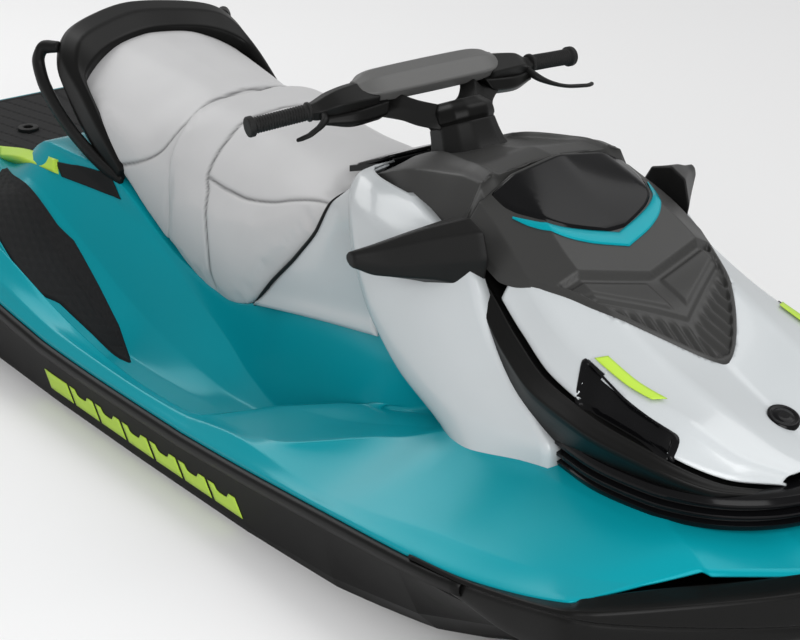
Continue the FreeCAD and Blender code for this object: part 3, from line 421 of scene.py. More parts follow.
# %% The finishes of this craft
# name: slot; colour, roughness, specular level, drift and its scale, grain's depth in mm and its scale, other inputs
METAL = {"Metallic": 1.0}
FINISHES = {
    "teal_gelcoat": ("teal", (0.002, 0.285, 0.345), 0.24, 0.40, 0.05, 1.6, 0, 0,
                     {"Specular Tint": (0.15, 0.90, 1.0, 1)}),
    "white_gelcoat": ("white", (0.545, 0.575, 0.590), 0.26, 0.5, 0.02, 2.0, 0, 0,
                      {"Coat Weight": 0.3, "Coat Roughness": 0.06}),
    "hull_black": ("hull_black", (0.004, 0.004, 0.0038), 0.42, 0.10, 0.10, 4.0, 0.05, 500.0),
    "moulded_black": ("dark_plastic", (0.009, 0.009, 0.0088), 0.44, 0.15, 0.10, 6.0, 0.12, 900.0),
    "pad_moulding": ("dark_plastic", (0.110, 0.110, 0.108), 0.42, 0.30, 0.08, 6.0, 0.08, 900.0),
    "satin_black": ("dark_plastic", (0.005, 0.005, 0.0048), 0.34, 0.13, 0.08, 6.0, 0.04, 700.0),
    "grey_moulding": ("dark_plastic", (0.034, 0.034, 0.033), 0.40, 0.30, 0.08, 6.0, 0.08, 900.0),
    "gloss_black": ("gloss_black", (0.004, 0.004, 0.0045), 0.16, 0.12, 0.02, 3.0, 0, 0,
                    {"Coat Weight": 0.03, "Coat Roughness": 0.03}),
    "mat_foam": ("mat_rubber", (0.012, 0.012, 0.0125), 0.75, 0.2, 0.10, 20.0, 0.4, 500.0),
    "seat_vinyl": ("seat_vinyl", (0.535, 0.535, 0.540), 0.46, 0.5, 0.05, 8.0, 0.12, 800.0, {"Sheen Weight": 0.08}),
    "cast_alloy": ("alloy", (0.42, 0.43, 0.44), 0.38, 0.5, 0.12, 15.0, 0.15, 600.0, METAL),
    "polished_steel": ("steel", (0.62, 0.62, 0.63), 0.18, 0.5, 0.06, 20.0, 0, 0, METAL),
    "mirror_glass": ("steel", (0.55, 0.57, 0.58), 0.04, 0.5, 0.01, 3.0, 0, 0, METAL),
    "lime_film": ("white", (0.50, 0.74, 0.07), 0.35, 0.3, 0.02, 3.0),
    "grip_rubber": ("mat_rubber", (0.008, 0.008, 0.008), 0.62, 0.3, 0.1, 30.0, 0.3, 700.0)}
LOOKS = {name: finish_of(name, *row[1:]) for name, row in FINISHES.items()}


def painted_shade_at(material, attribute, color):
    """Mixes a colour into the base colour by the piece's own attribute: (1 - a) base + a colour."""
    tree = material.node_tree
    shader = tree.nodes["Principled BSDF"]
    mark, blend = tree.nodes.new("ShaderNodeAttribute"), tree.nodes.new("ShaderNodeMix")
    mark.attribute_name = attribute
    blend.data_type = "RGBA"
    tree.links.new(mark.outputs["Fac"], blend.inputs[0])
    tree.links.new(shader.inputs["Base Color"].links[0].from_socket, blend.inputs[6])
    blend.inputs[7].default_value = (*color, 1)
    tree.links.new(blend.outputs[2], shader.inputs["Base Color"])


# painted shade: the seat vinyl turns dark grey along the sunk seams, by the seam weight that sew stores, as if each
# groove were in shadow
painted_shade_at(LOOKS["seat_vinyl"], "seam", (0.12, 0.12, 0.122))
print("finishes", len(LOOKS))

# %% Each CAD node takes the first finish of its slot
for part in frame["record"]["subparts"]:
    node = nodes[part["node"]]
    node.data.materials.clear()
    node.data.materials.append(next(LOOKS[name] for name, row in FINISHES.items() if row[0] == part["material_slot"]))


# %% [markdown]
# ## Camera, floor and light
# The view is from above the starboard bow with a long lens, so parallel edges stay nearly parallel. The floor
# is the water's level. A wide patch of sky above the port side is the key light and gives the facets their
# graded tones. A large softbox ahead of the bow opens the shadows, and a smaller one over the stern puts a
# glint on the edges that face it.

# %% Camera
LOOK_AT = Vector((0.4546, -0.2448, 0.4062))
AZIMUTH = math.radians(-35.45)
ELEVATION = math.radians(22.78)
CAMERA_DISTANCE = 5.5
SENSOR_MM = 36.0
LENS_MM = 121.0


def placed(name, data, place, facing, axis):
    """Puts a camera or a lamp at a place with one of its axes along a direction."""
    obj = bpy.data.objects.new(name, data)
    obj.location = place
    obj.rotation_euler = Vector(facing).to_track_quat(axis, "Y").to_euler()
    bpy.context.scene.collection.objects.link(obj)
    return obj


away = Vector((math.cos(AZIMUTH) * math.cos(ELEVATION), math.sin(AZIMUTH) * math.cos(ELEVATION), math.sin(ELEVATION)))
lens = bpy.data.cameras.new("camera")
lens.lens, lens.sensor_width = LENS_MM, SENSOR_MM
bpy.context.scene.camera = placed("camera", lens, LOOK_AT + away * CAMERA_DISTANCE, -away, "-Z")


# %% Floor and world
FLOOR_TONE, BACKDROP_TONE = (0.885, 0.885, 0.887, 1), (0.89, 0.89, 0.89, 1)
ROOM_STRENGTH, FLOOR_REACH = 0.50, 14.0
floor_x, floor_y = np.meshgrid(*[np.linspace(-FLOOR_REACH, FLOOR_REACH, 3)] * 2, indexing="ij")
floor = surface("floor", np.stack([floor_x, floor_y, 0 * floor_x], axis=2))
floor_material = bpy.data.materials.new("floor")
floor_material.use_nodes = True
floor_shader = floor_material.node_tree.nodes["Principled BSDF"]
floor_shader.inputs["Base Color"].default_value = FLOOR_TONE
floor_shader.inputs["Roughness"].default_value = 0.9
floor.data.materials.append(floor_material)
world = bpy.data.worlds.new("studio")
bpy.context.scene.world = world
world.use_nodes = True
sky = world.node_tree
room, backdrop = sky.nodes["Background"], sky.nodes.new("ShaderNodeBackground")
room.inputs["Color"].default_value = (1.0, 1.0, 1.0, 1)
room.inputs["Strength"].default_value = ROOM_STRENGTH
backdrop.inputs["Color"].default_value = BACKDROP_TONE
seen, mix = sky.nodes.new("ShaderNodeLightPath"), sky.nodes.new("ShaderNodeMixShader")
for source, socket in ((seen.outputs["Is Camera Ray"], mix.inputs[0]), (room.outputs[0], mix.inputs[1]),
                       (backdrop.outputs[0], mix.inputs[2]), (mix.outputs[0], sky.nodes["World Output"].inputs[0])):
    sky.links.new(source, socket)
bpy.context.scene.view_settings.view_transform = "Standard"


# %% Lamps
def softbox(name, place, target, size, watts):
    """Square area lamp at place, facing target."""
    lamp = bpy.data.lights.new(name, "AREA")
    lamp.shape, lamp.size, lamp.energy = "SQUARE", size, watts
    placed(name, lamp, place, Vector(target) - Vector(place), "-Z")


def far_sky(name, toward, degrees, strength):
    """Round patch of even light far away in the direction toward, degrees across."""
    lamp = bpy.data.lights.new(name, "SUN")
    lamp.energy, lamp.angle = strength, math.radians(degrees)
    placed(name, lamp, (0, 0, 0), toward, "Z")


far_sky("port_key", (0.10, 0.55, 0.80), 44, 0.85)
softbox("bow_side", (4.4, -2.2, 2.3), (0.4, 0, 0.3), 3.0, 130)
softbox("stern_glint", (-3.4, -0.3, 3.0), (0.2, -0.3, 0.2), 2.4, 42)


# %% [markdown]
# ## Deck
# The deck moulding is the craft's face. A narrow bright gunwale runs inside the rail, a long darker facet climbs
# from it to a shoulder, and behind the foredeck's lip the two footwells sink to the floor and ramp up to the
# stern. The raised middle that carries the seats has three facets on each side, which fan out forwards. All of
# this is one skin, so its nine fold lines share their stations, and each line has its own x at a station where
# an edge runs slantwise, as the lip and the bow's front edge do.

# %% Deck lines
# each row is a station; each line has x y z there, in drawn millimetres, for the port half
RIM = [(-1640, 440, 239), (-1500, 520, 236), (-1400, 541, 230), (-1150, 577, 219), (-960, 597, 206), (-735, 607, 185),
       (-500, 611, 164), (-390, 611, 155), (-200, 611, 152), (-60, 611, 153), (90, 611, 155), (150, 611, 156),
       (170, 611, 156), (400, 611, 168), (620, 611, 184), (800, 611, 198), (1040, 605, 215), (1240, 577, 234),
       (1376, 540, 259), (1384, 526, 260)]
GUNWALE = [(-1640, 425, 262), (-1500, 505, 262), (-1400, 524, 260), (-1150, 561, 252), (-960, 579, 243),
           (-735, 590, 217), (-500, 594, 187), (-390, 595, 176), (-200, 594, 171), (-60, 594, 170), (90, 591, 172),
           (150, 589, 174), (170, 588, 175), (372, 581, 198), (620, 580, 194), (790, 576, 212), (1005, 553, 243),
           (1190, 528, 258), (1330, 476, 268), (1420, 412, 270)]
SHOULDER = [(-1640, 345, 305), (-1500, 352, 325), (-1400, 360, 338), (-1150, 380, 350), (-960, 545, 302),
            (-735, 550, 262), (-500, 550, 204), (-390, 550, 181), (-200, 550, 153), (-60, 549, 146), (90, 545, 149),
            (150, 535, 158), (166, 531, 162), (430, 548, 208), (640, 402, 256), (800, 338, 281), (1060, 336, 290),
            (1240, 329, 287), (1380, 318, 280), (1470, 312, 274)]
OUTER_FLOOR = [(-1640, 320, 288), (-1500, 322, 292), (-1400, 325, 296), (-1150, 330, 300), (-960, 505, 296),
               (-735, 516, 202), (-500, 520, 100), (-390, 520, 53), (-200, 520, 50), (-60, 520, 50), (90, 516, 51),
               (170, 500, 54), (208, 420, 163), (460, 372, 214), (650, 330, 262), (840, 292, 296), (1100, 205, 309),
               (1256, 255, 305), (1376, 292, 289), (1486, 306, 274)]
FOOT = [(-1640, 300, 288), (-1500, 302, 292), (-1400, 305, 296), (-1150, 325, 300), (-960, 382, 297),
        (-735, 391, 202), (-500, 394, 100), (-390, 391, 53), (-200, 385, 50), (-60, 372, 50), (90, 352, 51),
        (262, 336, 54), (312, 328, 184), (500, 290, 232), (660, 285, 272), (850, 240, 300), (1100, 140, 314),
        (1280, 150, 306), (1420, 160, 290), (1556, 165, 272)]
LOW_FACET = [(-1640, 280, 288), (-1500, 284, 292), (-1400, 288, 296), (-1150, 312, 301), (-960, 345, 322),
             (-735, 337, 238), (-500, 332, 143), (-390, 331, 113), (-200, 327, 77), (-60, 321, 57), (90, 314, 58),
             (320, 312, 62), (392, 300, 208), (540, 282, 244), (670, 260, 280), (850, 200, 302), (1100, 100, 316),
             (1290, 105, 310), (1440, 110, 296), (1580, 112, 272)]
HIGH_FACET = [(-1640, 240, 288), (-1500, 246, 292), (-1400, 252, 296), (-1150, 296, 302), (-960, 292, 384),
              (-735, 270, 350), (-500, 263, 265), (-390, 262, 226), (-200, 267, 152), (-60, 281, 98), (90, 298, 80),
              (370, 302, 96), (470, 292, 232), (560, 272, 256), (680, 230, 290), (850, 160, 304), (1100, 60, 317),
              (1300, 60, 312), (1450, 60, 300), (1594, 58, 272)]
SEAT_EDGE = [(-1640, 200, 288), (-1500, 204, 292), (-1400, 210, 296), (-1150, 285, 303), (-960, 284, 402),
             (-735, 263, 394), (-500, 249, 290), (-390, 249, 256), (-200, 249, 234), (-60, 249, 272), (90, 261, 332),
             (420, 290, 392), (555, 286, 362), (600, 262, 300), (690, 200, 296), (850, 120, 305), (1100, 30, 318),
             (1306, 30, 313), (1456, 30, 301), (1598, 28, 272)]
MIDDLE = [(x, 0, z) for x, _, z in SEAT_EDGE]
FOREDECK_LIFT, DECK_FOOT = 30, 213


def lines_through(*tables, per=6):
    """Fold lines (line, sample, xyz) in metres, one through each table's points, station by station."""
    return np.stack([fair_path(table, per) * UNIT for table in tables])


def over_bin(points):
    """True over the storage bin, where the skins above it are open."""
    return (points[:, 0] > 690) & (points[:, 0] < 1240) & (np.abs(points[:, 1]) < 185)


deck_lines = lines_through(RIM, GUNWALE, SHOULDER, OUTER_FLOOR, FOOT, LOW_FACET, HIGH_FACET, SEAT_EDGE, MIDDLE)
run_x = deck_lines[2:, :, 0] / UNIT
deck_lines[2:, :, 2] += FOREDECK_LIFT * UNIT * step(run_x, 640, 820) * (1 - step(run_x, 1380, 1560))
edge_drop = deck_lines[:1] - np.array([0, 0, 26 * UNIT])
deck_half = folded(np.concatenate([edge_drop, deck_lines]), bulges=(0, 1, 2, 0, 0, 1, 1, 1, 0), across=5, round_mm=4)
stern_foot = deck_half[:1] * [1, 1, 0] + [0, 0, DECK_FOOT * UNIT]
deck_skin = skin("deck_skin", both_sides(np.concatenate([stern_foot, deck_half])), UP, 4.0, cuts=[over_bin])
finish_piece(deck_skin, "craft", "teal_gelcoat", "deck", "seat_base")

# %% [markdown]
# ## Seats
# Each seat is vinyl drawn tight over foam. Its skin starts as seven fair lines from the crest down to the lower
# edge, which close underneath into a solid shape. Cloth under a little pressure then swells it as foam does.
# The seams come last, because swelling would blur them: every point near a seam sinks along its normal, and the vinyl
# there is darkened as painted shade in the groove.

# %% Seat lines
# each line has x y z at each station, in drawn millimetres, for the port half
PASSENGER_LINES = [
    [(-950, 0, 470), (-870, 0, 455), (-770, 0, 430), (-657, 0, 388), (-580, 0, 340), (-480, 0, 286)],
    [(-950, 222, 470), (-870, 246, 455), (-770, 252, 430), (-657, 252, 388), (-580, 250, 340), (-480, 248, 286)],
    [(-955, 224, 500), (-875, 252, 490), (-785, 258, 465), (-670, 260, 430), (-590, 258, 388), (-462, 256, 340)],
    [(-970, 219, 540), (-890, 246, 530), (-800, 252, 510), (-690, 254, 482), (-595, 252, 455), (-452, 250, 430)],
    [(-990, 192, 572), (-910, 219, 560), (-830, 218, 546), (-700, 208, 530), (-600, 200, 520), (-464, 202, 538)],
    [(-1010, 138, 602), (-930, 152, 598), (-845, 148, 590), (-700, 136, 578), (-600, 128, 568), (-482, 140, 574)],
    [(-1018, 68, 616), (-940, 88, 618), (-848, 83, 614), (-700, 70, 603), (-600, 60, 595), (-494, 78, 592)],
    [(-1022, 0, 620), (-944, 0, 624), (-850, 0, 621), (-700, 0, 610), (-600, 0, 600), (-500, 0, 595)]]
RIDER_LINES = [
    [(-462, 0, 290), (-380, 0, 250), (-290, 0, 226), (-210, 0, 220), (-140, 0, 234), (-82, 0, 270), (-10, 0, 345),
     (85, 0, 436)],
    [(-462, 250, 290), (-380, 248, 250), (-290, 248, 226), (-210, 248, 220), (-140, 248, 234), (-82, 248, 270),
     (-10, 247, 345), (85, 240, 436)],
    [(-446, 262, 400), (-378, 264, 372), (-285, 264, 342), (-200, 263, 328), (-125, 259, 330), (-58, 253, 350),
     (22, 248, 405), (118, 236, 470)],
    [(-446, 254, 486), (-384, 254, 474), (-290, 252, 456), (-200, 248, 446), (-110, 244, 446), (-20, 238, 458),
     (68, 230, 485), (144, 222, 526)],
    [(-460, 208, 556), (-398, 206, 548), (-305, 203, 532), (-212, 203, 522), (-118, 200, 518), (-30, 194, 526),
     (60, 190, 540), (124, 184, 552)],
    [(-478, 150, 590), (-412, 150, 584), (-322, 146, 572), (-225, 142, 564), (-128, 137, 562), (-35, 132, 564),
     (38, 126, 566), (78, 118, 564)],
    [(-490, 85, 600), (-425, 85, 598), (-335, 80, 590), (-235, 74, 584), (-135, 68, 582), (-42, 66, 582),
     (30, 64, 580), (62, 60, 572)],
    [(-494, 0, 602), (-430, 0, 600), (-340, 0, 594), (-240, 0, 590), (-140, 0, 587), (-45, 0, 588), (28, 0, 586),
     (60, 0, 576)]]


def seat_shape(name, lines, dome_mm):
    """Closed skin: fair along each line, fair again from line to line, mirrored, with domed ends."""
    along = lines_through(*lines, per=10)
    half = fair_path(along, 6).reshape(-1, along.shape[1], 3)
    ring = both_sides(np.moveaxis(half, 0, 1))[:, :-1]
    return tidy(surface(name, closed_ends(ring, dome_mm), wrap=True), merge=0.0005)


# %% Stuffing and seams
def points_of(obj):
    """Vertices and their normals as arrays."""
    found = np.empty(len(obj.data.vertices) * 3), np.empty(len(obj.data.vertices) * 3)
    obj.data.vertices.foreach_get("co", found[0])
    obj.data.vertices.foreach_get("normal", found[1])
    return found[0].reshape(-1, 3), found[1].reshape(-1, 3)


def evaluated(obj):
    """Swaps an object's mesh for the one its modifiers make."""
    bpy.context.view_layer.update()
    mesh = bpy.data.meshes.new_from_object(obj.evaluated_get(bpy.context.evaluated_depsgraph_get()))
    obj.modifiers.clear()
    obj.data = mesh
    return obj


VOXEL_MM, SWELL_CAP_MM, SETTLE_FRAMES = 6.0, 7.0, 20
CLOTH = {"quality": 4, "use_pressure": True, "uniform_pressure_force": 4.0, "tension_stiffness": 30.0,
         "compression_stiffness": 30.0, "bending_stiffness": 6.0}


def stuffed(obj):
    """Voxel skin swollen as cloth under pressure; no point moves further than the cap."""
    remesh = obj.modifiers.new("voxels", "REMESH")
    remesh.mode = "VOXEL"
    remesh.voxel_size = VOXEL_MM * UNIT
    evaluated(obj)
    start, _ = points_of(obj)
    cloth = obj.modifiers.new("cloth", "CLOTH")
    for setting, value in CLOTH.items():
        setattr(cloth.settings, setting, value)
    cloth.settings.effector_weights.gravity = 0.0
    for frame_number in range(1, SETTLE_FRAMES + 1):
        bpy.context.scene.frame_set(frame_number)
    evaluated(obj)
    bpy.context.scene.frame_set(1)
    moved = points_of(obj)[0] - start
    length = np.linalg.norm(moved, axis=1, keepdims=True)
    moved *= np.minimum(1.0, SWELL_CAP_MM * UNIT / np.maximum(length, 1e-9))
    obj.data.vertices.foreach_set("co", (start + moved).ravel())
    print(obj.name, "swelled", round(1000 * float(length.mean()), 1), "mm before the cap of", SWELL_CAP_MM)
    smooth = obj.modifiers.new("ease", "SMOOTH")
    smooth.iterations = 6
    return evaluated(obj)


SEAM_DEPTH, SEAM_WIDTH = 3.5 * UNIT, 5.5 * UNIT
SEAM_REACH = 0.03   # metres from a seam's box beyond which no point moves


def sew(obj, seams):
    """Sinks points by depth exp(-(d / width)^2), d being the distance to the seam along the skin, on both sides; the
    square of that weight is stored as the seam attribute, which paints shade into the groove.
    """
    points, normals = points_of(obj)
    near = np.zeros(len(points))
    for seam in seams:
        for path in pair(fair_path(seam, 12) * UNIT):
            inside = (points > path.min(axis=0) - SEAM_REACH) & (points < path.max(axis=0) + SEAM_REACH)
            close = np.flatnonzero(inside.all(axis=1))
            a, b = path[:-1], path[1:]
            run = b - a
            s = np.clip(((points[close, None] - a) * run).sum(axis=2) / (run ** 2).sum(axis=1), 0, 1)
            gap = points[close, None] - (a + s[..., None] * run)
            gap -= (gap * normals[close, None]).sum(axis=2, keepdims=True) * normals[close, None]
            distance = np.linalg.norm(gap, axis=2).min(axis=1)
            near[close] = np.maximum(near[close], np.exp(-(distance / SEAM_WIDTH) ** 2))
    obj.data.vertices.foreach_set("co", (points - normals * (SEAM_DEPTH * near)[:, None]).ravel())
    # the squared seam weight is the painted shade that the seat finish reads: dark grey in the groove
    obj.data.attributes.new("seam", "FLOAT", "POINT").data.foreach_set("value", near ** 2)
    obj.data.polygons.foreach_set("use_smooth", np.ones(len(obj.data.polygons), bool))


# %% The two seats
PASSENGER_SEAMS = [[(-520, 0, 600), (-508, 94, 590), (-490, 175, 573), (-508, 237, 515), (-583, 262, 456),
                    (-680, 262, 415)]]
RIDER_SEAMS = [[(-350, 0, 598), (-343, 93, 590), (-330, 162, 565), (-323, 205, 533), (-312, 236, 495),
                (-290, 252, 470)],
               [(-312, 236, 495), (-240, 236, 488), (-179, 234, 488), (-77, 222, 505), (-10, 208, 525),
                (60, 196, 540), (120, 190, 552)],
               [(-290, 252, 470), (-268, 262, 400), (-255, 264, 330), (-250, 252, 250)]]
for name, lines, seams, node in (("seat_passenger_cover", PASSENGER_LINES, PASSENGER_SEAMS, "seat_passenger"),
                                 ("seat_rider_cover", RIDER_LINES, RIDER_SEAMS, "seat_rider")):
    cover = stuffed(seat_shape(name, lines, 14.0))
    sew(cover, seams)
    finish_piece(cover, "craft", "seat_vinyl", node)


# %% [markdown]
# ## Hood
# The hood is a white nose with a black ribbed insert and a glossy panel let into it. All of them share one
# surface: half widths and heights run fair from the rear edge to the nose, and each overlay takes its height
# from that surface plus a small raise that dies away at its rim.

# %% The hood's surface
# x, centre z, crest y z, shoulder y z, edge y z
HOOD = np.array([
    (640, 768, 110, 748, 188, 706, 232, 648), (760, 705, 130, 702, 208, 660, 250, 594),
    (880, 640, 148, 646, 226, 592, 266, 530), (1000, 582, 150, 586, 238, 546, 288, 490),
    (1150, 508, 140, 536, 244, 514, 300, 470), (1300, 454, 122, 490, 216, 492, 278, 450),
    (1400, 424, 100, 444, 170, 442, 210, 414), (1455, 402, 56, 412, 100, 412, 118, 398)], float)
HOOD_DENSE = fair(HOOD[:, 0], HOOD, 20)


def over_hood(x, y):
    """Height of the hood above a place in plan: lines at x, then straight between them at |y|, in drawn mm."""
    columns = [np.interp(x, HOOD_DENSE[:, 0], HOOD_DENSE[:, column]) for column in range(1, 8)]
    centre, crest_y, crest_z, shoulder_y, shoulder_z, edge_y, edge_z = columns
    side = np.abs(y)
    inner = centre + (crest_z - centre) * side / crest_y
    middle = crest_z + (shoulder_z - crest_z) * (side - crest_y) / (shoulder_y - crest_y)
    outer = shoulder_z + (edge_z - shoulder_z) * (side - shoulder_y) / (edge_y - shoulder_y)
    return np.where(side < crest_y, inner, np.where(side < shoulder_y, middle, outer))


def laid_on_hood(name, half_width, raise_mm, rows, across, relief=None, rim_mm=7.0):
    """Overlay with a half width fair through (x, y) stations: the hood's height plus raise times a rim factor."""
    stations = np.array(half_width, float)
    xs = np.linspace(stations[0, 0], stations[-1, 0], rows)
    dense = fair(stations[:, 0], stations, 12)
    width = np.interp(xs, dense[:, 0], dense[:, 1])[:, None]
    share = np.sin(np.linspace(-1, 1, across) * np.pi / 2)[None, :]
    x, y = np.broadcast_to(xs[:, None], (rows, across)), width * share
    inset = np.minimum(np.minimum(width - np.abs(y), x - xs[0] + 2), 0.8 * (xs[-1] - x) + 1)
    lift = -3.0 + (raise_mm + 3.0) * step(inset, 0, rim_mm)
    if relief is not None:
        lift = lift + relief(x, y) * step(inset, 1.5 * rim_mm, 3 * rim_mm)
    return skin(name, points_at(x, y, over_hood(x, y) + lift), UP, 4.0)


# %% White nose with its scoops
nose_rows = HOOD_DENSE[HOOD_DENSE[:, 0] >= 800]
nose_lines = np.stack([
    nose_rows[:, [0, 6, 7]] - [0, 14, 8], nose_rows[:, [0, 6, 7]], nose_rows[:, [0, 4, 5]], nose_rows[:, [0, 2, 3]],
    np.stack([nose_rows[:, 0], 0 * nose_rows[:, 0], nose_rows[:, 1]], axis=1)]) * UNIT
nose_half = folded(nose_lines, bulges=(0, 3, 1, 0), across=24, round_mm=14)
INSERT_PLAN = [(641, 228), (720, 240), (775, 243), (805, 238), (872, 214), (925, 190), (985, 165), (1050, 126),
               (1105, 84), (1145, 46), (1163, 22), (1171, 6)]
SCOOP = [(1048, 530), (1100, 458), (1326, 431), (1306, 471), (1170, 500)]


def beside_hood(x, z):
    """Half width of the hood's side at a height: straight from edge to shoulder, upright below, in drawn mm."""
    shoulder_y, shoulder_z, edge_y, edge_z = (np.interp(x, HOOD_DENSE[:, 0], HOOD_DENSE[:, c]) for c in (4, 5, 6, 7))
    return edge_y + (shoulder_y - edge_y) * np.maximum(z - edge_z, 0) / (shoulder_z - edge_z)


def in_scoop(points):
    """True inside the scoop's outline in side view: an even-odd count of the edges to the right."""
    ring = np.array(SCOOP, float)
    (x0, z0), (x1, z1) = ring.T, np.roll(ring, -1, axis=0).T
    x, z = points[:, :1], points[:, 2:]
    crossed = ((z0 > z) != (z1 > z)) & (x < x0 + (x1 - x0) * (z - z0) / np.where(z1 == z0, 1, z1 - z0))
    return (crossed.sum(axis=1) % 2 == 1) & (np.abs(points[:, 1]) > 200)


def under_insert(points):
    """True where the insert covers the nose, 6 mm and more inside its edge."""
    plan = np.array(INSERT_PLAN, float)
    return (np.abs(points[:, 1]) < np.interp(points[:, 0], plan[:, 0], plan[:, 1]) - 6) & (points[:, 0] < 1158)


nose = skin("nose_cover", both_sides(nose_half), UP, 5.0, cuts=[in_scoop, under_insert])
finish_piece(nose, "hood", "white_gelcoat", "hood")
scoop_ring = rounded(np.array([[(x, 0, z) for x, z in SCOOP]], float) * UNIT, 14.0, steps=5)[0] / UNIT
scoop_middle = scoop_ring.mean(axis=0)
SCOOP_SHRINK = np.array([1.07, 1.06, 1.03, 1.0, 0.96, 0.90, 0.62, 0.34, 0.0])
SCOOP_SINK = np.array([4.0, -1.0, -1.6, -1.0, 6.0, 14.0, 17.0, 13.0, 12.0])
scoop_bowl = scoop_middle + (scoop_ring[None] - scoop_middle) * SCOOP_SHRINK[:, None, None]
scoop_bowl[..., 1] = beside_hood(scoop_bowl[..., 0], scoop_bowl[..., 2]) - SCOOP_SINK[:, None]
for side, sign in SIDES:
    inlet = skin(f"scoop_{side}_bowl", scoop_bowl * UNIT * [1, sign, 1], (0, sign, 0.3), 2.0, wrap=True)
    finish_piece(inlet, "hood", "gloss_black", f"scoop_{side}")


# %% Ribbed insert, glossy panel and stripe
def insert_relief(x, y):
    """Step down behind a shallow V, a facet that climbs back, a second step, and ribs that fade in to the front."""
    side = np.abs(y)
    first, second = x + 0.26 * side - 942, x + 0.62 * side - 1052
    facet = -15 * step(first, 0, 7) + 12 * step(first, 8, 95) - 7 * step(second, 0, 8)
    island = 5 * step(first, 14, 22) * (1 - step(second, -14, -4)) * step(side, 14, 22)
    ribs = 4.5 * (np.cos(2 * np.pi * (side - 0.18 * (x - 1000)) / 24) - 0.2) * step(second, 14, 40)
    return facet + island + ribs


insert = laid_on_hood("ribbed_insert", INSERT_PLAN, 6.0, rows=170, across=180, relief=insert_relief)
finish_piece(insert, "hood", "grey_moulding", "hood_insert")
panel = laid_on_hood("glossy_panel", [(648, 170), (690, 172), (715, 168), (752, 153), (785, 134), (805, 108),
                                      (822, 70), (836, 30), (843, 4)], 12.0, rows=50, across=40, rim_mm=9.0)
finish_piece(panel, "hood", "gloss_black", "hood_panel")
STRIPE_INNER = [(846, 0), (825, 66), (806, 110), (786, 136), (752, 157), (728, 170)]
STRIPE_OUTER = [(880, 0), (855, 75), (830, 118), (803, 143), (760, 165), (730, 174)]
stripe_inner, stripe_outer = fair_path(STRIPE_INNER, 10), fair_path(STRIPE_OUTER, 10)
stripe_share = np.linspace(0, 1, 8)[:, None]
stripe_x, stripe_y = (stripe_inner[:, c] * (1 - stripe_share) + stripe_outer[:, c] * stripe_share for c in (0, 1))
stripe_z = over_hood(stripe_x, stripe_y) + 8.5 + 2.0 * np.sin(np.pi * stripe_share)
stripe_half = points_at(stripe_x, stripe_y, stripe_z)
stripe_grid = np.concatenate([stripe_half[:, ::-1] * MIRROR, stripe_half[:, 1:]], axis=1)
stripe = skin("teal_stripe", stripe_grid, UP, 4.0)
finish_piece(stripe, "hood", "teal_gelcoat", "hood_stripe")

# %% Plain badge and lime strips on the nose
BADGE_X, BADGE_R = 1330, 31
badge_r, badge_a = np.meshgrid(np.array([0, 0.3, 0.60, 0.64, 0.72, 0.76, 0.92, 1.0, 1.0]),
                               np.linspace(0, 2 * np.pi, 49), indexing="ij")
badge_x, badge_y = BADGE_X + BADGE_R * badge_r * np.cos(badge_a), BADGE_R * badge_r * np.sin(badge_a)
badge_lift = np.array([4.5, 4.5, 4.5, 3.0, 3.0, 4.5, 4.5, 3.0, -12.0])[:, None]
badge = tidy(surface("plain_badge", points_at(badge_x, badge_y, over_hood(badge_x, 26.0) + badge_lift)), toward=UP)
finish_piece(badge, "hood", "gloss_black")
lime_s, lime_t = evenly(30, 5)
lime_x = 1066 + 158 * lime_s + 14 * lime_t
lime_y = np.interp(lime_x, HOOD_DENSE[:, 0], HOOD_DENSE[:, 4]) - 5 - 22 * lime_t
lime = skin("lime_strips", pair(points_at(lime_x, lime_y, over_hood(lime_x, lime_y) + 5.5)), UP, 1.2)
finish_piece(lime, "hood", "lime_film")


# %% [markdown]
# ## Side cowls, seat panel and front cowl
# A white cowl sweeps from each side of the console down to the foredeck, and a panel fills the corner between it
# and the seat. Both are swept through level lines: at every height the same few points are named, from the return
# at the back to the return at the front. The dark front cowl is the channel that the hood closes on.

# %% Side cowls
# height; then x y of the rear return, rear crease, soft crease, middle and front edge; in drawn millimetres
COWL = np.array([
    (228, 728, 290, 742, 322, 775, 340, 880, 366, 1010, 318),
    (285, 702, 290, 715, 324, 750, 342, 850, 366, 1030, 318),
    (360, 550, 290, 562, 327, 606, 344, 800, 364, 1045, 323),
    (400, 492, 286, 503, 325, 548, 342, 750, 359, 1000, 320),
    (450, 432, 280, 442, 320, 490, 337, 690, 351, 908, 312),
    (500, 392, 272, 402, 313, 448, 330, 640, 343, 842, 303),
    (545, 358, 258, 366, 303, 412, 320, 594, 335, 797, 294),
    (585, 328, 240, 335, 288, 380, 306, 552, 321, 763, 284),
    (625, 298, 218, 304, 268, 350, 288, 505, 307, 712, 274),
    (650, 276, 196, 280, 243, 326, 262, 446, 279, 628, 266),
    (668, 266, 170, 269, 214, 306, 232, 390, 250, 540, 250),
    (677, 272, 130, 274, 180, 300, 200, 360, 216, 450, 222)])


def level_lines(table, per):
    """Grid of rows by level: every row of x y pairs at one height, fair from level to level, in metres."""
    dense = fair_path(table, per)
    pairs = dense[:, 1:].reshape(len(dense), -1, 2)
    height = np.broadcast_to(dense[:, :1, None], (*pairs.shape[:2], 1))
    return np.concatenate([pairs, height], axis=2) * UNIT


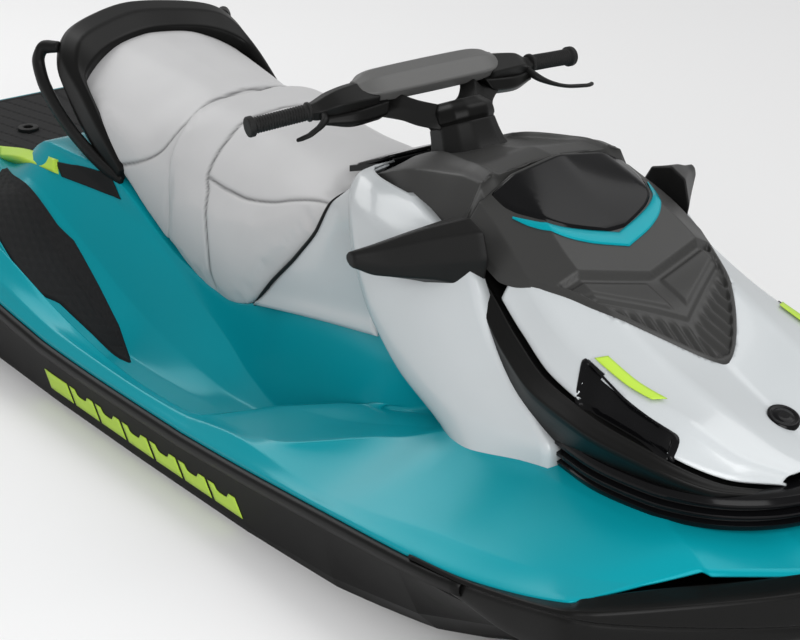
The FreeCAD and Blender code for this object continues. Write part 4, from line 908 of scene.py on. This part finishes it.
cowl_levels = level_lines(COWL, 5)
cowl_face = fair(np.array([0, 0.7, 2.0, 3.2]), np.moveaxis(cowl_levels[:, 1:], 1, 0).reshape(4, -1), 10)
cowl_face = np.moveaxis(cowl_face.reshape(-1, len(cowl_levels), 3), 0, 1)
cowl_front = cowl_levels[:, 4:] + np.array([4, -26, -4]) * UNIT
cowl_grid = np.concatenate([cowl_levels[:, :1], 0.06 * cowl_levels[:, :1] + 0.94 * cowl_levels[:, 1:2], cowl_face,
                            0.2 * cowl_front + 0.8 * cowl_levels[:, 4:], cowl_front], axis=1)
for side, sign in SIDES:
    cowl = skin(f"side_cowl_{side}_cover", cowl_grid * [1, sign, 1], (0, sign, 0.2), 4.0)
    finish_piece(cowl, "craft", "white_gelcoat", f"side_cowl_{side}")

# %% Panel between seat and cowl
PANEL_REAR = [(-86, 250, 262), (-14, 251, 338), (82, 247, 430), (148, 236, 512), (164, 214, 566), (170, 150, 590)]
PANEL_FRONT = [(470, 304, 392), (432, 300, 450), (360, 286, 540), (306, 258, 610), (271, 212, 656), (268, 140, 668)]
panel_rear, panel_front = lines_through(PANEL_REAR, PANEL_FRONT, per=8)
panel_share = np.linspace(0, 1, 24)[None, :, None]
panel_bow = np.array([0.0, -6.0, 0.0]) * UNIT * np.sin(np.pi * panel_share)
panel_down = np.linspace(0, 1, len(panel_rear))[:, None, None]
panel_trim = np.array([0.0, 7.0, 0.0]) * UNIT * np.exp(-(panel_down / 0.10) ** 2)
panel_grid = panel_rear[:, None] * (1 - panel_share) + panel_front[:, None] * panel_share + panel_bow + panel_trim
seat_side = tidy(surface("seat_side_panels", pair(panel_grid)))
wall(seat_side, 4.0, offset=0.0)
finish_piece(seat_side, "craft", "white_gelcoat", "seat_panel")

# %% Front cowl
# x, foot y, band y z, lip y z
FRONT = np.array([(560, 236, 276, 470, 236, 640), (660, 246, 270, 600, 236, 626), (760, 292, 280, 556, 250, 584),
                  (880, 300, 306, 496, 272, 524), (1000, 285, 330, 462, 294, 486), (1150, 270, 340, 448, 304, 468),
                  (1300, 240, 310, 428, 282, 446), (1400, 190, 246, 398, 214, 408), (1455, 120, 160, 382, 122, 388)])
front_x, foot_y, band_y, band_z, lip_y, lip_z = fair(FRONT[:, 0], FRONT, 8).T
front_lines = np.stack([np.stack(np.broadcast_arrays(front_x, y, z), axis=1) for y, z in (
    (foot_y, 262), (foot_y, 334), (0.45 * foot_y + 0.55 * band_y, 0.5 * (band_z + 334) - 8), (band_y, band_z - 8),
    (band_y + 2, band_z + 6), (0.5 * (band_y + lip_y) + 2, 0.5 * (band_z + lip_z) + 4), (lip_y + 3, lip_z),
    (lip_y - 8, lip_z - 12), (0, lip_z - 16))]) * UNIT
front_half = folded(front_lines, bulges=(0, -2, 0, 0, 1, 1, 0, 0), across=4, round_mm=4)
channel = skin("front_channel", both_sides(front_half), UP, 5.0, cuts=[over_bin])
finish_piece(channel, "craft", "satin_black", "front_cowl")
plate_y, plate_z = np.meshgrid(np.linspace(-192, 192, 33), np.linspace(302, 600, 20), indexing="ij")
plate_x = 684 + 8 * (1 - (plate_y / 192) ** 2) - 6 * np.cos(2 * np.pi * plate_y / 96) ** 8
bulkhead = skin("bin_bulkhead", points_at(plate_x, plate_y, plate_z), (1, 0, 0), 4.0)
finish_piece(bulkhead, "craft", "moulded_black")

# %% [markdown]
# The bumper under the hood is a glossy strip with two slots. Its profile is drawn once, as a distance out from the
# nose's plan and a height, and carried along that plan.

# %% Front bumper
NOSE_PLAN = [(1040, 306), (1160, 318), (1300, 300), (1420, 236), (1490, 130), (1519, 0)]
# share of the way out, height
BUMPER_PROFILE = np.array([(0.80, 388), (0.94, 392), (0.985, 388), (1.0, 378), (1.0, 370), (0.962, 366), (0.962, 360),
                           (1.0, 356), (1.0, 349), (0.965, 345), (0.965, 339), (0.992, 335), (0.975, 322),
                           (0.80, 312)])
bumper_from = np.array([1040, 0])
bumper_plan = bumper_from + (fair_path(NOSE_PLAN, 10)[:, None] - bumper_from) * BUMPER_PROFILE[:, :1]
bumper_half = points_at(bumper_plan[..., 0], bumper_plan[..., 1], BUMPER_PROFILE[:, 1])
grille = skin("front_grille", np.concatenate([bumper_half, bumper_half[-2::-1] * MIRROR]), AHEAD, 5.0)
bevel = grille.modifiers.new("edges", "BEVEL")
bevel.width, bevel.segments, bevel.limit_method = 1.6 * UNIT, 2, "ANGLE"
finish_piece(grille, "craft", "gloss_black", "front_bumper", slot="dark_plastic")


# %% [markdown]
# ## Steering
# The handlebar is a padded cross-piece on a forked neck. Everything that turns rides on the handlebar: pad, side
# covers, fork, grips and the two levers. The neck below the seam stays with the craft.

# %% Pad and side covers
def across_bar(y, points):
    """Ring of corners at one y from its x z outline."""
    return [(x, y, z) for x, z in points]


def squeezed(points, share, to=(200, 818)):
    """An x z outline drawn towards a point by a share."""
    return [(x + (to[0] - x) * share, z + (to[1] - z) * share) for x, z in points]


PAD = [(148, 806), (160, 842), (186, 852), (224, 846), (256, 820), (240, 796), (190, 788), (160, 790)]
pad_rings = [across_bar(y, squeezed(PAD, share)) for y, share in (
    (-172, 0.42), (-150, 0.14), (-112, 0), (0, -0.03), (112, 0), (150, 0.14), (172, 0.42))]
finish_piece(loft("bar_pad", pad_rings, per=5, round_mm=5.0, dome_mm=6.0), "handlebar", "pad_moulding",
             "handlebar_pad")
COVER = [(160, 796), (168, 826), (206, 836), (250, 812), (238, 778), (176, 774)]
COVER_END = [(160, 782), (168, 802), (192, 808), (214, 794), (206, 772), (172, 768)]
cover_rings = [across_bar(150, COVER), across_bar(190, squeezed(COVER, 0.06, (196, 800))),
               across_bar(236, squeezed(COVER, 0.22, (190, 792))), across_bar(272, COVER_END),
               across_bar(292, squeezed(COVER_END, 0.25, (186, 788)))]
covers = loft("bar_covers", cover_rings, per=6, round_mm=4.0, dome_mm=5.0, mirrored=True)
finish_piece(covers, "handlebar", "moulded_black", "handlebar")
UNDER_COVER = [[(206, 128, 800), (250, 128, 800), (262, 140, 776), (240, 150, 758), (196, 146, 768), (190, 134, 786)],
               [(214, 190, 794), (248, 190, 792), (256, 200, 770), (238, 208, 754), (204, 204, 762), (200, 194, 782)],
               [(206, 256, 786), (226, 256, 784), (230, 262, 770), (222, 266, 764), (204, 264, 766), (202, 258, 778)]]
finish_piece(loft("switch_pods", UNDER_COVER, per=6, round_mm=6.0, dome_mm=5.0, mirrored=True), "handlebar",
             "satin_black")

# %% Fork, head and neck
FORK = [[(186, 92, 800), (252, 92, 806), (262, 108, 786), (256, 156, 772), (196, 156, 770), (180, 108, 784)],
        [(226, 72, 792), (286, 70, 798), (296, 84, 780), (286, 118, 764), (236, 120, 762), (222, 88, 776)],
        [(266, 34, 780), (334, 32, 792), (346, 44, 776), (340, 76, 752), (280, 78, 744), (264, 48, 764)],
        [(276, 6, 772), (350, 6, 786), (360, 14, 770), (352, 52, 744), (286, 54, 736), (272, 14, 756)]]
finish_piece(loft("bar_fork", FORK, per=7, round_mm=4.0, dome_mm=4.0, mirrored=True), "handlebar", "moulded_black")
PIVOT = np.array([330.0, 0.0, 742.0])
TILT = math.radians(24.0)
AXIS = np.array([-math.sin(TILT), 0.0, math.cos(TILT)])
FORE = np.array([math.cos(TILT), 0.0, math.sin(TILT)])
HEAD_PLAN = np.array([(-58, 26), (-44, 52), (22, 66), (58, 50), (72, 22), (72, -22), (58, -50), (22, -66), (-44, -52),
                      (-58, -26)], float)


def across_neck(height, grow, shift=0.0):
    """Ring square to the steering axis at a height above the pivot, its plan scaled by grow."""
    plan = HEAD_PLAN * grow
    return PIVOT + AXIS * height + FORE * (plan[:, :1] + shift) + np.array([0, 1, 0]) * plan[:, 1:]


head_rings = [across_neck(8, 0.98), across_neck(14, 1.02), across_neck(34, 1.0), across_neck(50, 0.82, -6)]
finish_piece(loft("bar_head", head_rings, per=4, round_mm=6.0, dome_mm=5.0), "handlebar", "satin_black")
neck_rings = [across_neck(-120, 1.55, 10), across_neck(-84, 1.36, 6), across_neck(-48, 1.14), across_neck(-14, 1.03),
              across_neck(2, 1.0)]
finish_piece(loft("steering_neck", neck_rings, per=5, round_mm=7.0, dome_mm=4.0), "craft", "moulded_black",
             "steering_column")

# %% Grips and levers
GRIP_IN, GRIP_OUT = np.array([190.0, 287.0, 790.0]), np.array([168.0, 420.0, 777.0])
GRIP_R, GRIP_RIBS = 16.5, 22
grip_s = np.linspace(0, 1, 90)
grip_ribbed = step(grip_s, 0.06, 0.1) * (1 - step(grip_s, 0.86, 0.9))
grip_radius = (GRIP_R + 1.3 * np.cos(grip_s * 2 * np.pi * GRIP_RIBS) * grip_ribbed
               + 4.5 * (1 - step(grip_s, 0.02, 0.05)) + 5.5 * step(grip_s, 0.90, 0.93))
for side, sign in SIDES:
    run = (GRIP_IN + (GRIP_OUT - GRIP_IN) * grip_s[:, None]) * [1, sign, 1]
    grip = tube(f"grip_{side}_rubber", run, np.stack([grip_radius, grip_radius], axis=1), around=28, per=2)
    finish_piece(grip, "handlebar", "grip_rubber", f"grip_{side}")
brake = tube("brake_lever_blade", [(206, 262, 786), (240, 270, 776), (256, 300, 760), (264, 340, 748),
                                   (268, 380, 743), (260, 404, 739), (254, 412, 738)],
             [(9, 9), (8, 8), (7, 5), (7, 4), (7, 4), (6, 4), (5, 4)], around=18)
finish_piece(brake, "handlebar", "moulded_black", "brake_lever")
throttle = tube("throttle_lever_blade", [(206, -262, 786), (232, -276, 780), (240, -296, 770), (240, -314, 761),
                                         (232, -328, 753), (224, -336, 748)],
                [(9, 9), (8, 8), (7, 6), (8, 5), (8, 5), (6, 4)], around=18)
finish_piece(throttle, "handlebar", "moulded_black", "throttle_lever")

# %% [markdown]
# ## Mirrors
# Each mirror is a tapered pod that grows out of the cowl, with its glass set in the rear face.

# %% Mirror pods
MIRROR_ROOT = [(612, 570), (606, 640), (640, 690), (700, 708), (745, 692), (760, 640), (744, 572), (680, 545)]
MIRROR_MID = [(582, 585), (577, 630), (600, 664), (640, 680), (672, 668), (684, 625), (676, 588), (630, 570)]
MIRROR_OUTER = [(555, 600), (552, 622), (566, 640), (588, 648), (604, 640), (612, 612), (606, 588), (580, 584)]
MIRROR_TIP = [(546, 610), (545, 622), (554, 632), (566, 636), (576, 630), (580, 614), (574, 600), (560, 600)]
pod_rings = [across_bar(y, ring) for y, ring in ((258, MIRROR_ROOT), (330, MIRROR_MID), (400, MIRROR_OUTER),
                                                 (434, MIRROR_TIP))]
for side, sign in SIDES:
    rings = np.array(pod_rings, float) * [1, sign, 1]
    pod = loft(f"mirror_{side}_pod", rings, per=8, round_mm=6.0, dome_mm=6.0)
    finish_piece(pod, "craft", "moulded_black", f"mirror_{side}")


# %% [markdown]
# ## Trim on the deck and hull
# Films and mats lie on a surface that already exists. `stuck_on` wraps a thin grid onto its nearest points a
# little above them, so a film follows every facet it crosses. The rail that guards the deck's edge is one
# profile carried round the craft.

# %% Films that follow a surface
def between(line_a, line_b, across):
    """Flat strip from one line to the other, across points wide."""
    share = np.linspace(0, 1, across)[None, :, None]
    return line_a[:, None] * (1 - share) + line_b[:, None] * share


def stuck_on(obj, target, raise_mm):
    """Moves every point to raise_mm above the nearest point of a target object's surface."""
    wrap = obj.modifiers.new("wrap", "SHRINKWRAP")
    wrap.target = target
    wrap.wrap_method = "NEAREST_SURFACEPOINT"
    wrap.wrap_mode = "ABOVE_SURFACE"
    wrap.offset = raise_mm * UNIT
    return evaluated(obj)


lime_edges = lines_through([(-1262, 272, 305), (-1050, 290, 357), (-905, 302, 378)],
                           [(-1190, 308, 307), (-1030, 322, 346), (-878, 316, 352)], per=8)
stern_lime = skin("stern_lime_film", pair(between(*lime_edges, 6)), UP, 24.0)
finish_piece(stern_lime, "craft", "lime_film")
pad_edges = lines_through([(-905, 302, 358), (-800, 278, 366), (-706, 262, 372)],
                          [(-862, 314, 335), (-765, 290, 330), (-655, 268, 326)], per=14)
pad_plate = between(*pad_edges, 16) + [0, 0, 15 * UNIT]   # starts above the deck, so it wraps onto the outer side
stern_pad = stuck_on(surface("stern_black_film", pair(pad_plate)), deck_skin, 3.0)
wall(tidy(stern_pad, toward=UP), 2.5)
finish_piece(stern_pad, "craft", "mat_foam")

# %% Slanted bars on the hull's side
BAR_AFT, BAR_PITCH, BAR_LONG, BAR_LEAN = -432, 117, 104, 18
bar_start = BAR_AFT + BAR_PITCH * np.arange(7)[:, None, None]
bar_s, bar_t = evenly(14, 6)
bar_tall = 44 - 14 * step(bar_s, 0.22, 0.34) * (1 - step(bar_s, 0.66, 0.78)) * (bar_start > -400)
bar_x = bar_start + BAR_LONG * bar_s + BAR_LEAN * (1 - bar_t)
bar_z = 27 + bar_tall * bar_t
bar_grids = np.stack([bar_x, 606 + 0 * bar_x, bar_z], axis=3) * UNIT
hull_bars = surface("hull_side_bars", [grid * [1, sign, 1] for grid in bar_grids for sign in (1, -1)])
hull_bars = stuck_on(hull_bars, nodes["hull"], 1.6)
tidy(hull_bars)
wall(hull_bars, 1.2)
finish_piece(hull_bars, "craft", "lime_film")

# %% Footwell mats on the ramps
MAT_RAISE, MAT_GROOVE = 6.0, 30
foot_lines = lines_through(OUTER_FLOOR, FOOT, LOW_FACET, per=26) / UNIT
foot_x = foot_lines[1, :, 0]
ramp = (foot_x > -1100) & (foot_x < -384)
outer_line, middle_line, inner_line = foot_lines[:, ramp]
mat_x = foot_x[ramp]
mat_from = np.interp(mat_x, [-1100, -987, -794, -736, -599, -484, -384], [-0.3, -0.6, -0.6, -0.75, -0.5, -0.25, 0.12])
mat_to = np.interp(mat_x, [-1100, -960, -718, -640, -600, -472, -384], [0.5, 0.95, 0.95, 0.90, 0.62, 0.38, 0.16])
mat_share = mat_from[:, None] + (mat_to - mat_from)[:, None] * np.linspace(0, 1, 60)[None]
outward, inward = np.maximum(mat_share, 0)[..., None], np.maximum(-mat_share, 0)[..., None]
mat_points = (middle_line[:, None] + outward * (outer_line - middle_line)[:, None]
              + inward * (inner_line - middle_line)[:, None])
mat_rim = np.minimum(np.minimum(mat_share - mat_from[:, None], mat_to[:, None] - mat_share) * 110,
                     np.minimum(mat_x + 1102, -382 - mat_x)[:, None])
mat_groove = np.cos(2 * np.pi * (mat_points[..., 0] + 0.5 * mat_points[..., 1]) / MAT_GROOVE) > 0.86
mat_points[..., 2] += MAT_RAISE * step(mat_rim, -1, 6) - 2.2 * mat_groove * step(mat_rim, 10, 14)
foot_mats = skin("footwell_mats", pair(mat_points * UNIT), UP, 5.0)
finish_piece(foot_mats, "craft", "mat_foam", "footwell_mat_left", "footwell_mat_right")

# %% Rear deck mat with grooves
MAT_AFT, MAT_FORE, MAT_HALF, GROOVE_PITCH = -1622, -1160, 290, 44
rear_s, rear_t = evenly(150, 170, low=-1)
rear_x, rear_y = MAT_AFT + (MAT_FORE - MAT_AFT) * rear_s, MAT_HALF * rear_t
rear_z = np.interp(rear_x, [-1640, -1500, -1400, -1150], [288, 292, 296, 303]) + 6
rear_rim = np.minimum(np.minimum(rear_x - MAT_AFT, MAT_FORE - rear_x), MAT_HALF - np.abs(rear_y))
rear_wave = np.cos(2 * np.pi * (np.abs(rear_y) + 0.16 * (rear_x + 1400)) / GROOVE_PITCH)
rear_groove = (rear_wave > 0.90) & (rear_rim > 26)
rear_border = np.abs(rear_rim - 20) < 2.6
rear_z = rear_z - 7 * (1 - step(rear_rim, 0, 4)) - 2.4 * (rear_groove | rear_border)
rear_mat = skin("rear_mat", points_at(rear_x, rear_y, rear_z), UP, 5.0)
finish_piece(rear_mat, "craft", "mat_foam", "rear_deck_mat")

# %% Rail round the deck's edge
# out from the deck's edge, height from it
RAIL_PROFILE = np.array([(-4, -9), (5, -9), (11, -11), (15, -15), (16, -19), (16, -29), (13, -33), (13, -36),
                         (9, -38), (-4, -38)], float)
side_run = fair_path(RIM, 8)
side_run = side_run[side_run[:, 0] < 1150]
stern_run = np.array([(-1640, y, 239) for y in (0, 110, 220, 320, 400, 425)], float)
rail_run = np.concatenate([stern_run, side_run])
run_way = unit_rows(np.gradient(rail_run[:, :2], axis=0))
rail_out = np.stack([-run_way[:, 1], run_way[:, 0], 0 * run_way[:, 0]], axis=1)
rail_grid = rail_run[:, None] + RAIL_PROFILE[None, :, :1] * rail_out[:, None]
rail_grid[..., 2] += RAIL_PROFILE[None, :, 1]
deck_rail = skin("deck_rail", np.concatenate([rail_grid[:0:-1] * MIRROR, rail_grid]) * UNIT, UP, 3.0)
finish_piece(deck_rail, "craft", "satin_black", "rub_rail")


# %% Bow guard
# x, y of the outer face; top, crease and bottom heights; depth of the top
GUARD = [(1000, 617, 213, 207, 182, 10), (1120, 608, 220, 213, 178, 14), (1270, 594, 239, 232, 160, 24),
         (1400, 576, 262, 254, 166, 44), (1442, 545, 267, 250, 171, 62), (1536, 392, 274, 232, 177, 78),
         (1615, 215, 276, 214, 179, 74), (1652, 80, 277, 206, 181, 66), (1660, 0, 277, 205, 181, 64)]
guard = fair_path(GUARD, 10)
guard_way = unit_rows(np.gradient(guard[:, :2], axis=0))
guard_way[-1] = (0, -1)
guard_in = np.stack([guard_way[:, 1], -guard_way[:, 0]], axis=1)


def guard_line(inset, height):
    """Line round the bow, inset from the outer face, at a height."""
    plan = guard[:, :2] + guard_in * np.broadcast_to(inset, (len(guard),))[:, None]
    return np.concatenate([plan, height[:, None]], axis=1)


guard_top, guard_crease, guard_foot, guard_deep = guard[:, 2:].T
guard_lines = np.stack([guard_line(inset, height) for inset, height in (
    (guard_deep, guard_top - 3), (5, guard_top), (0, guard_top - 6), (0, guard_crease), (6, guard_crease - 5),
    (3, guard_crease - 14), (6, guard_foot), (34, guard_foot - 4))]) * UNIT
guard_half = np.moveaxis(folded(guard_lines, bulges=(0, 0, 0, 0, 0, 2, 0), across=4, round_mm=3), 0, 1)
bow_guard = skin("bow_guard", both_sides(guard_half), AHEAD, 4.0)
finish_piece(bow_guard, "craft", "satin_black", "bow_bumper")


# %% [markdown]
# ## Grab handle, console and small lid
# The grab handle is a hood of plastic over the rear of the seat, with a hand strap outside each end. The console
# is the dark saddle between the steering neck and the hood's rear edge.

# %% Grab handle
# ring of corners: inner low, inner top, middle top, outer top, outer low, middle low
GRAB_HALF = [
    [(-955, 0, 602), (-948, 0, 643), (-1004, 0, 674), (-1064, 0, 684), (-1078, 0, 660), (-1012, 0, 618)],
    [(-930, 110, 594), (-923, 110, 636), (-975, 116, 666), (-1036, 120, 676), (-1054, 122, 652), (-990, 116, 610)],
    [(-905, 180, 572), (-896, 178, 618), (-938, 196, 650), (-990, 214, 656), (-1008, 220, 628), (-956, 202, 588)],
    [(-880, 226, 520), (-866, 226, 585), (-890, 238, 606), (-936, 252, 610), (-952, 256, 570), (-925, 244, 520)],
    [(-840, 238, 470), (-810, 238, 545), (-822, 248, 558), (-850, 258, 556), (-874, 260, 505), (-862, 252, 465)],
    [(-762, 242, 420), (-735, 242, 480), (-742, 252, 492), (-756, 262, 488), (-780, 264, 440), (-776, 254, 412)],
    [(-668, 246, 382), (-652, 246, 412), (-656, 253, 418), (-664, 260, 414), (-676, 262, 392), (-674, 254, 378)]]
grab_half = np.array(GRAB_HALF, float)
grab_rings = np.concatenate([grab_half[:0:-1] * MIRROR, grab_half])
finish_piece(loft("grab_hood", grab_rings, per=7, round_mm=9.0, dome_mm=4.0), "craft", "satin_black",
             "grab_handle")
STRAP = [(-985, 236, 628), (-1018, 254, 622), (-1030, 266, 592), (-1008, 270, 548), (-950, 272, 500),
         (-880, 271, 458), (-800, 268, 424), (-725, 262, 396), (-670, 254, 382)]
STRAP_RADII = [(14, 14), (15, 18), (15, 20), (14, 20), (13, 20), (12, 19), (12, 18), (10, 16), (8, 12)]
finish_piece(tube("grab_straps", STRAP, STRAP_RADII, around=18, per=7, dome_mm=6.0, mirrored=True, up=(0.6, 0, 0.8)),
             "craft", "moulded_black")

# %% Console between neck and hood
# x; then y z of the centre, groove, ridge, shoulder and foot
SADDLE = np.array([
    (238, 0, 650, 74, 642, 84, 650, 184, 634, 204, 560), (300, 0, 684, 80, 678, 92, 688, 188, 668, 216, 590),
    (420, 0, 726, 96, 722, 108, 734, 186, 712, 238, 630), (520, 0, 748, 118, 740, 130, 750, 182, 732, 246, 625),
    (584, 0, 766, 128, 752, 140, 758, 180, 742, 248, 620), (632, 0, 764, 132, 750, 144, 756, 178, 742, 248, 612),
    (636, 0, 752, 132, 738, 144, 744, 178, 730, 246, 600),
    (676, 0, 712, 132, 698, 144, 704, 178, 690, 238, 560)], float)
saddle_dense = fair(SADDLE[:, 0], SADDLE, 8)
saddle_lines = np.stack([saddle_dense[:, [0, c, c + 1]] for c in (9, 7, 5, 3, 1)]) * UNIT
saddle_half = folded(saddle_lines, bulges=(2, 2, 0, 2), across=5, round_mm=4)
saddle = skin("console_saddle", both_sides(saddle_half), UP, 4.0)
finish_piece(saddle, "craft", "grey_moulding", "console")

# %% Glove box lid
leaf_s, leaf_t = evenly(40, 60, low=-1)
leaf_wide = 116 * (1 - np.abs(2 * leaf_s - 1) ** 5) ** 0.2 + 2
leaf_x, leaf_y = 86 + 140 * leaf_s, leaf_wide * leaf_t
leaf_rim = np.minimum(np.minimum(leaf_s, 1 - leaf_s) * 140, leaf_wide - np.abs(leaf_y))
leaf_crown = 5 * (1 - leaf_t ** 2) * np.sin(np.pi * leaf_s) + 7 * step(leaf_rim, 0, 6)
leaf = skin("glovebox_leaf", points_at(leaf_x, leaf_y, 604 + (leaf_x - 90) * 60 / 138 + leaf_crown), UP, 4.0)
finish_piece(leaf, "glovebox_lid", "gloss_black")

# %% Mirror glass and seat piping
glass_s, glass_t = evenly(20, 12)
glass_y = 296 + 112 * glass_s
glass_high = 656 - 30 * glass_s - 14 * np.abs(2 * glass_s - 1) ** 4
glass_low = 586 + 16 * glass_s + 12 * np.abs(2 * glass_s - 1) ** 4
glass_z = glass_low + (glass_high - glass_low) * glass_t
for side, sign in SIDES:
    glass = surface(f"mirror_{side}_glass", points_at(520, glass_y * sign, glass_z))
    stuck_on(glass, bpy.data.objects[f"mirror_{side}_pod"], 1.5)
    wall(tidy(glass, toward=(-1, 0, 0)), 2.0)
    finish_piece(glass, "craft", "mirror_glass")
PIPING = [(-86, 254, 262), (-14, 256, 338), (82, 251, 430), (148, 239, 512), (164, 217, 566), (166, 160, 588)]
finish_piece(tube("seat_piping", PIPING, (4.5, 4.5), around=10, per=10, mirrored=True), "craft", "moulded_black")


# %% [markdown]
# ## Guards and running gear
# The remaining metal and plastic parts keep the CAD's shape. A casting or a moulding has no knife edge, so each
# gets a merged copy of its own mesh with rounded edges and a finish.

# %% Rounded copies of CAD parts
SHARP_DEGREES = 32.0


def softened(name, node_name, body, finish, width_mm):
    """Copy of a CAD node's mesh: merged, flat faces joined, sharp edges bevelled by width_mm."""
    node = nodes[node_name]
    obj = bpy.data.objects.new(name, node.data.copy())
    obj.data.transform(node.matrix_world)
    bpy.context.scene.collection.objects.link(obj)
    with edited(obj) as work:
        bmesh.ops.remove_doubles(work, verts=work.verts, dist=1e-5)
        bmesh.ops.dissolve_limit(work, angle_limit=math.radians(1.0), verts=work.verts, edges=work.edges)
        bmesh.ops.recalc_face_normals(work, faces=work.faces)
    edge = obj.modifiers.new("edges", "BEVEL")
    edge.width, edge.segments = width_mm * UNIT, 3
    edge.limit_method, edge.angle_limit = "ANGLE", math.radians(SHARP_DEGREES)
    evaluated(obj)
    obj.data.set_sharp_from_angle(angle=math.radians(SHARP_DEGREES))
    finish_piece(obj, body, finish, node_name)


for name, node_name, body, finish, width in (
        ("storage_tub", "storage_bin", "craft", "moulded_black", 3.0),
        ("glovebox_tub", "glovebox", "craft", "moulded_black", 2.0),
        ("pump_case", "pump_housing", "craft", "cast_alloy", 3.0),
        ("ride_plate_cast", "ride_plate", "craft", "cast_alloy", 3.0),
        ("intake_grate_cast", "intake_grate", "craft", "cast_alloy", 2.0),
        ("sponson_left_wing", "sponson_left", "craft", "moulded_black", 4.0),
        ("sponson_right_wing", "sponson_right", "craft", "moulded_black", 4.0),
        ("anchor_rings", "deck_anchors", "craft", "moulded_black", 2.0),
        ("bow_ring", "bow_eye", "craft", "polished_steel", 2.0),
        ("stern_ring_left", "stern_eye_left", "craft", "polished_steel", 2.0),
        ("stern_ring_right", "stern_eye_right", "craft", "polished_steel", 2.0),
        ("nozzle_cast", "steering_nozzle", "steering_nozzle", "cast_alloy", 2.0),
        ("reverse_scoop", "reverse_bucket", "reverse_bucket", "moulded_black", 3.0),
        ("impeller_cast", "impeller", "impeller", "polished_steel", 1.0)):
    softened(name, node_name, body, finish, width)


import json
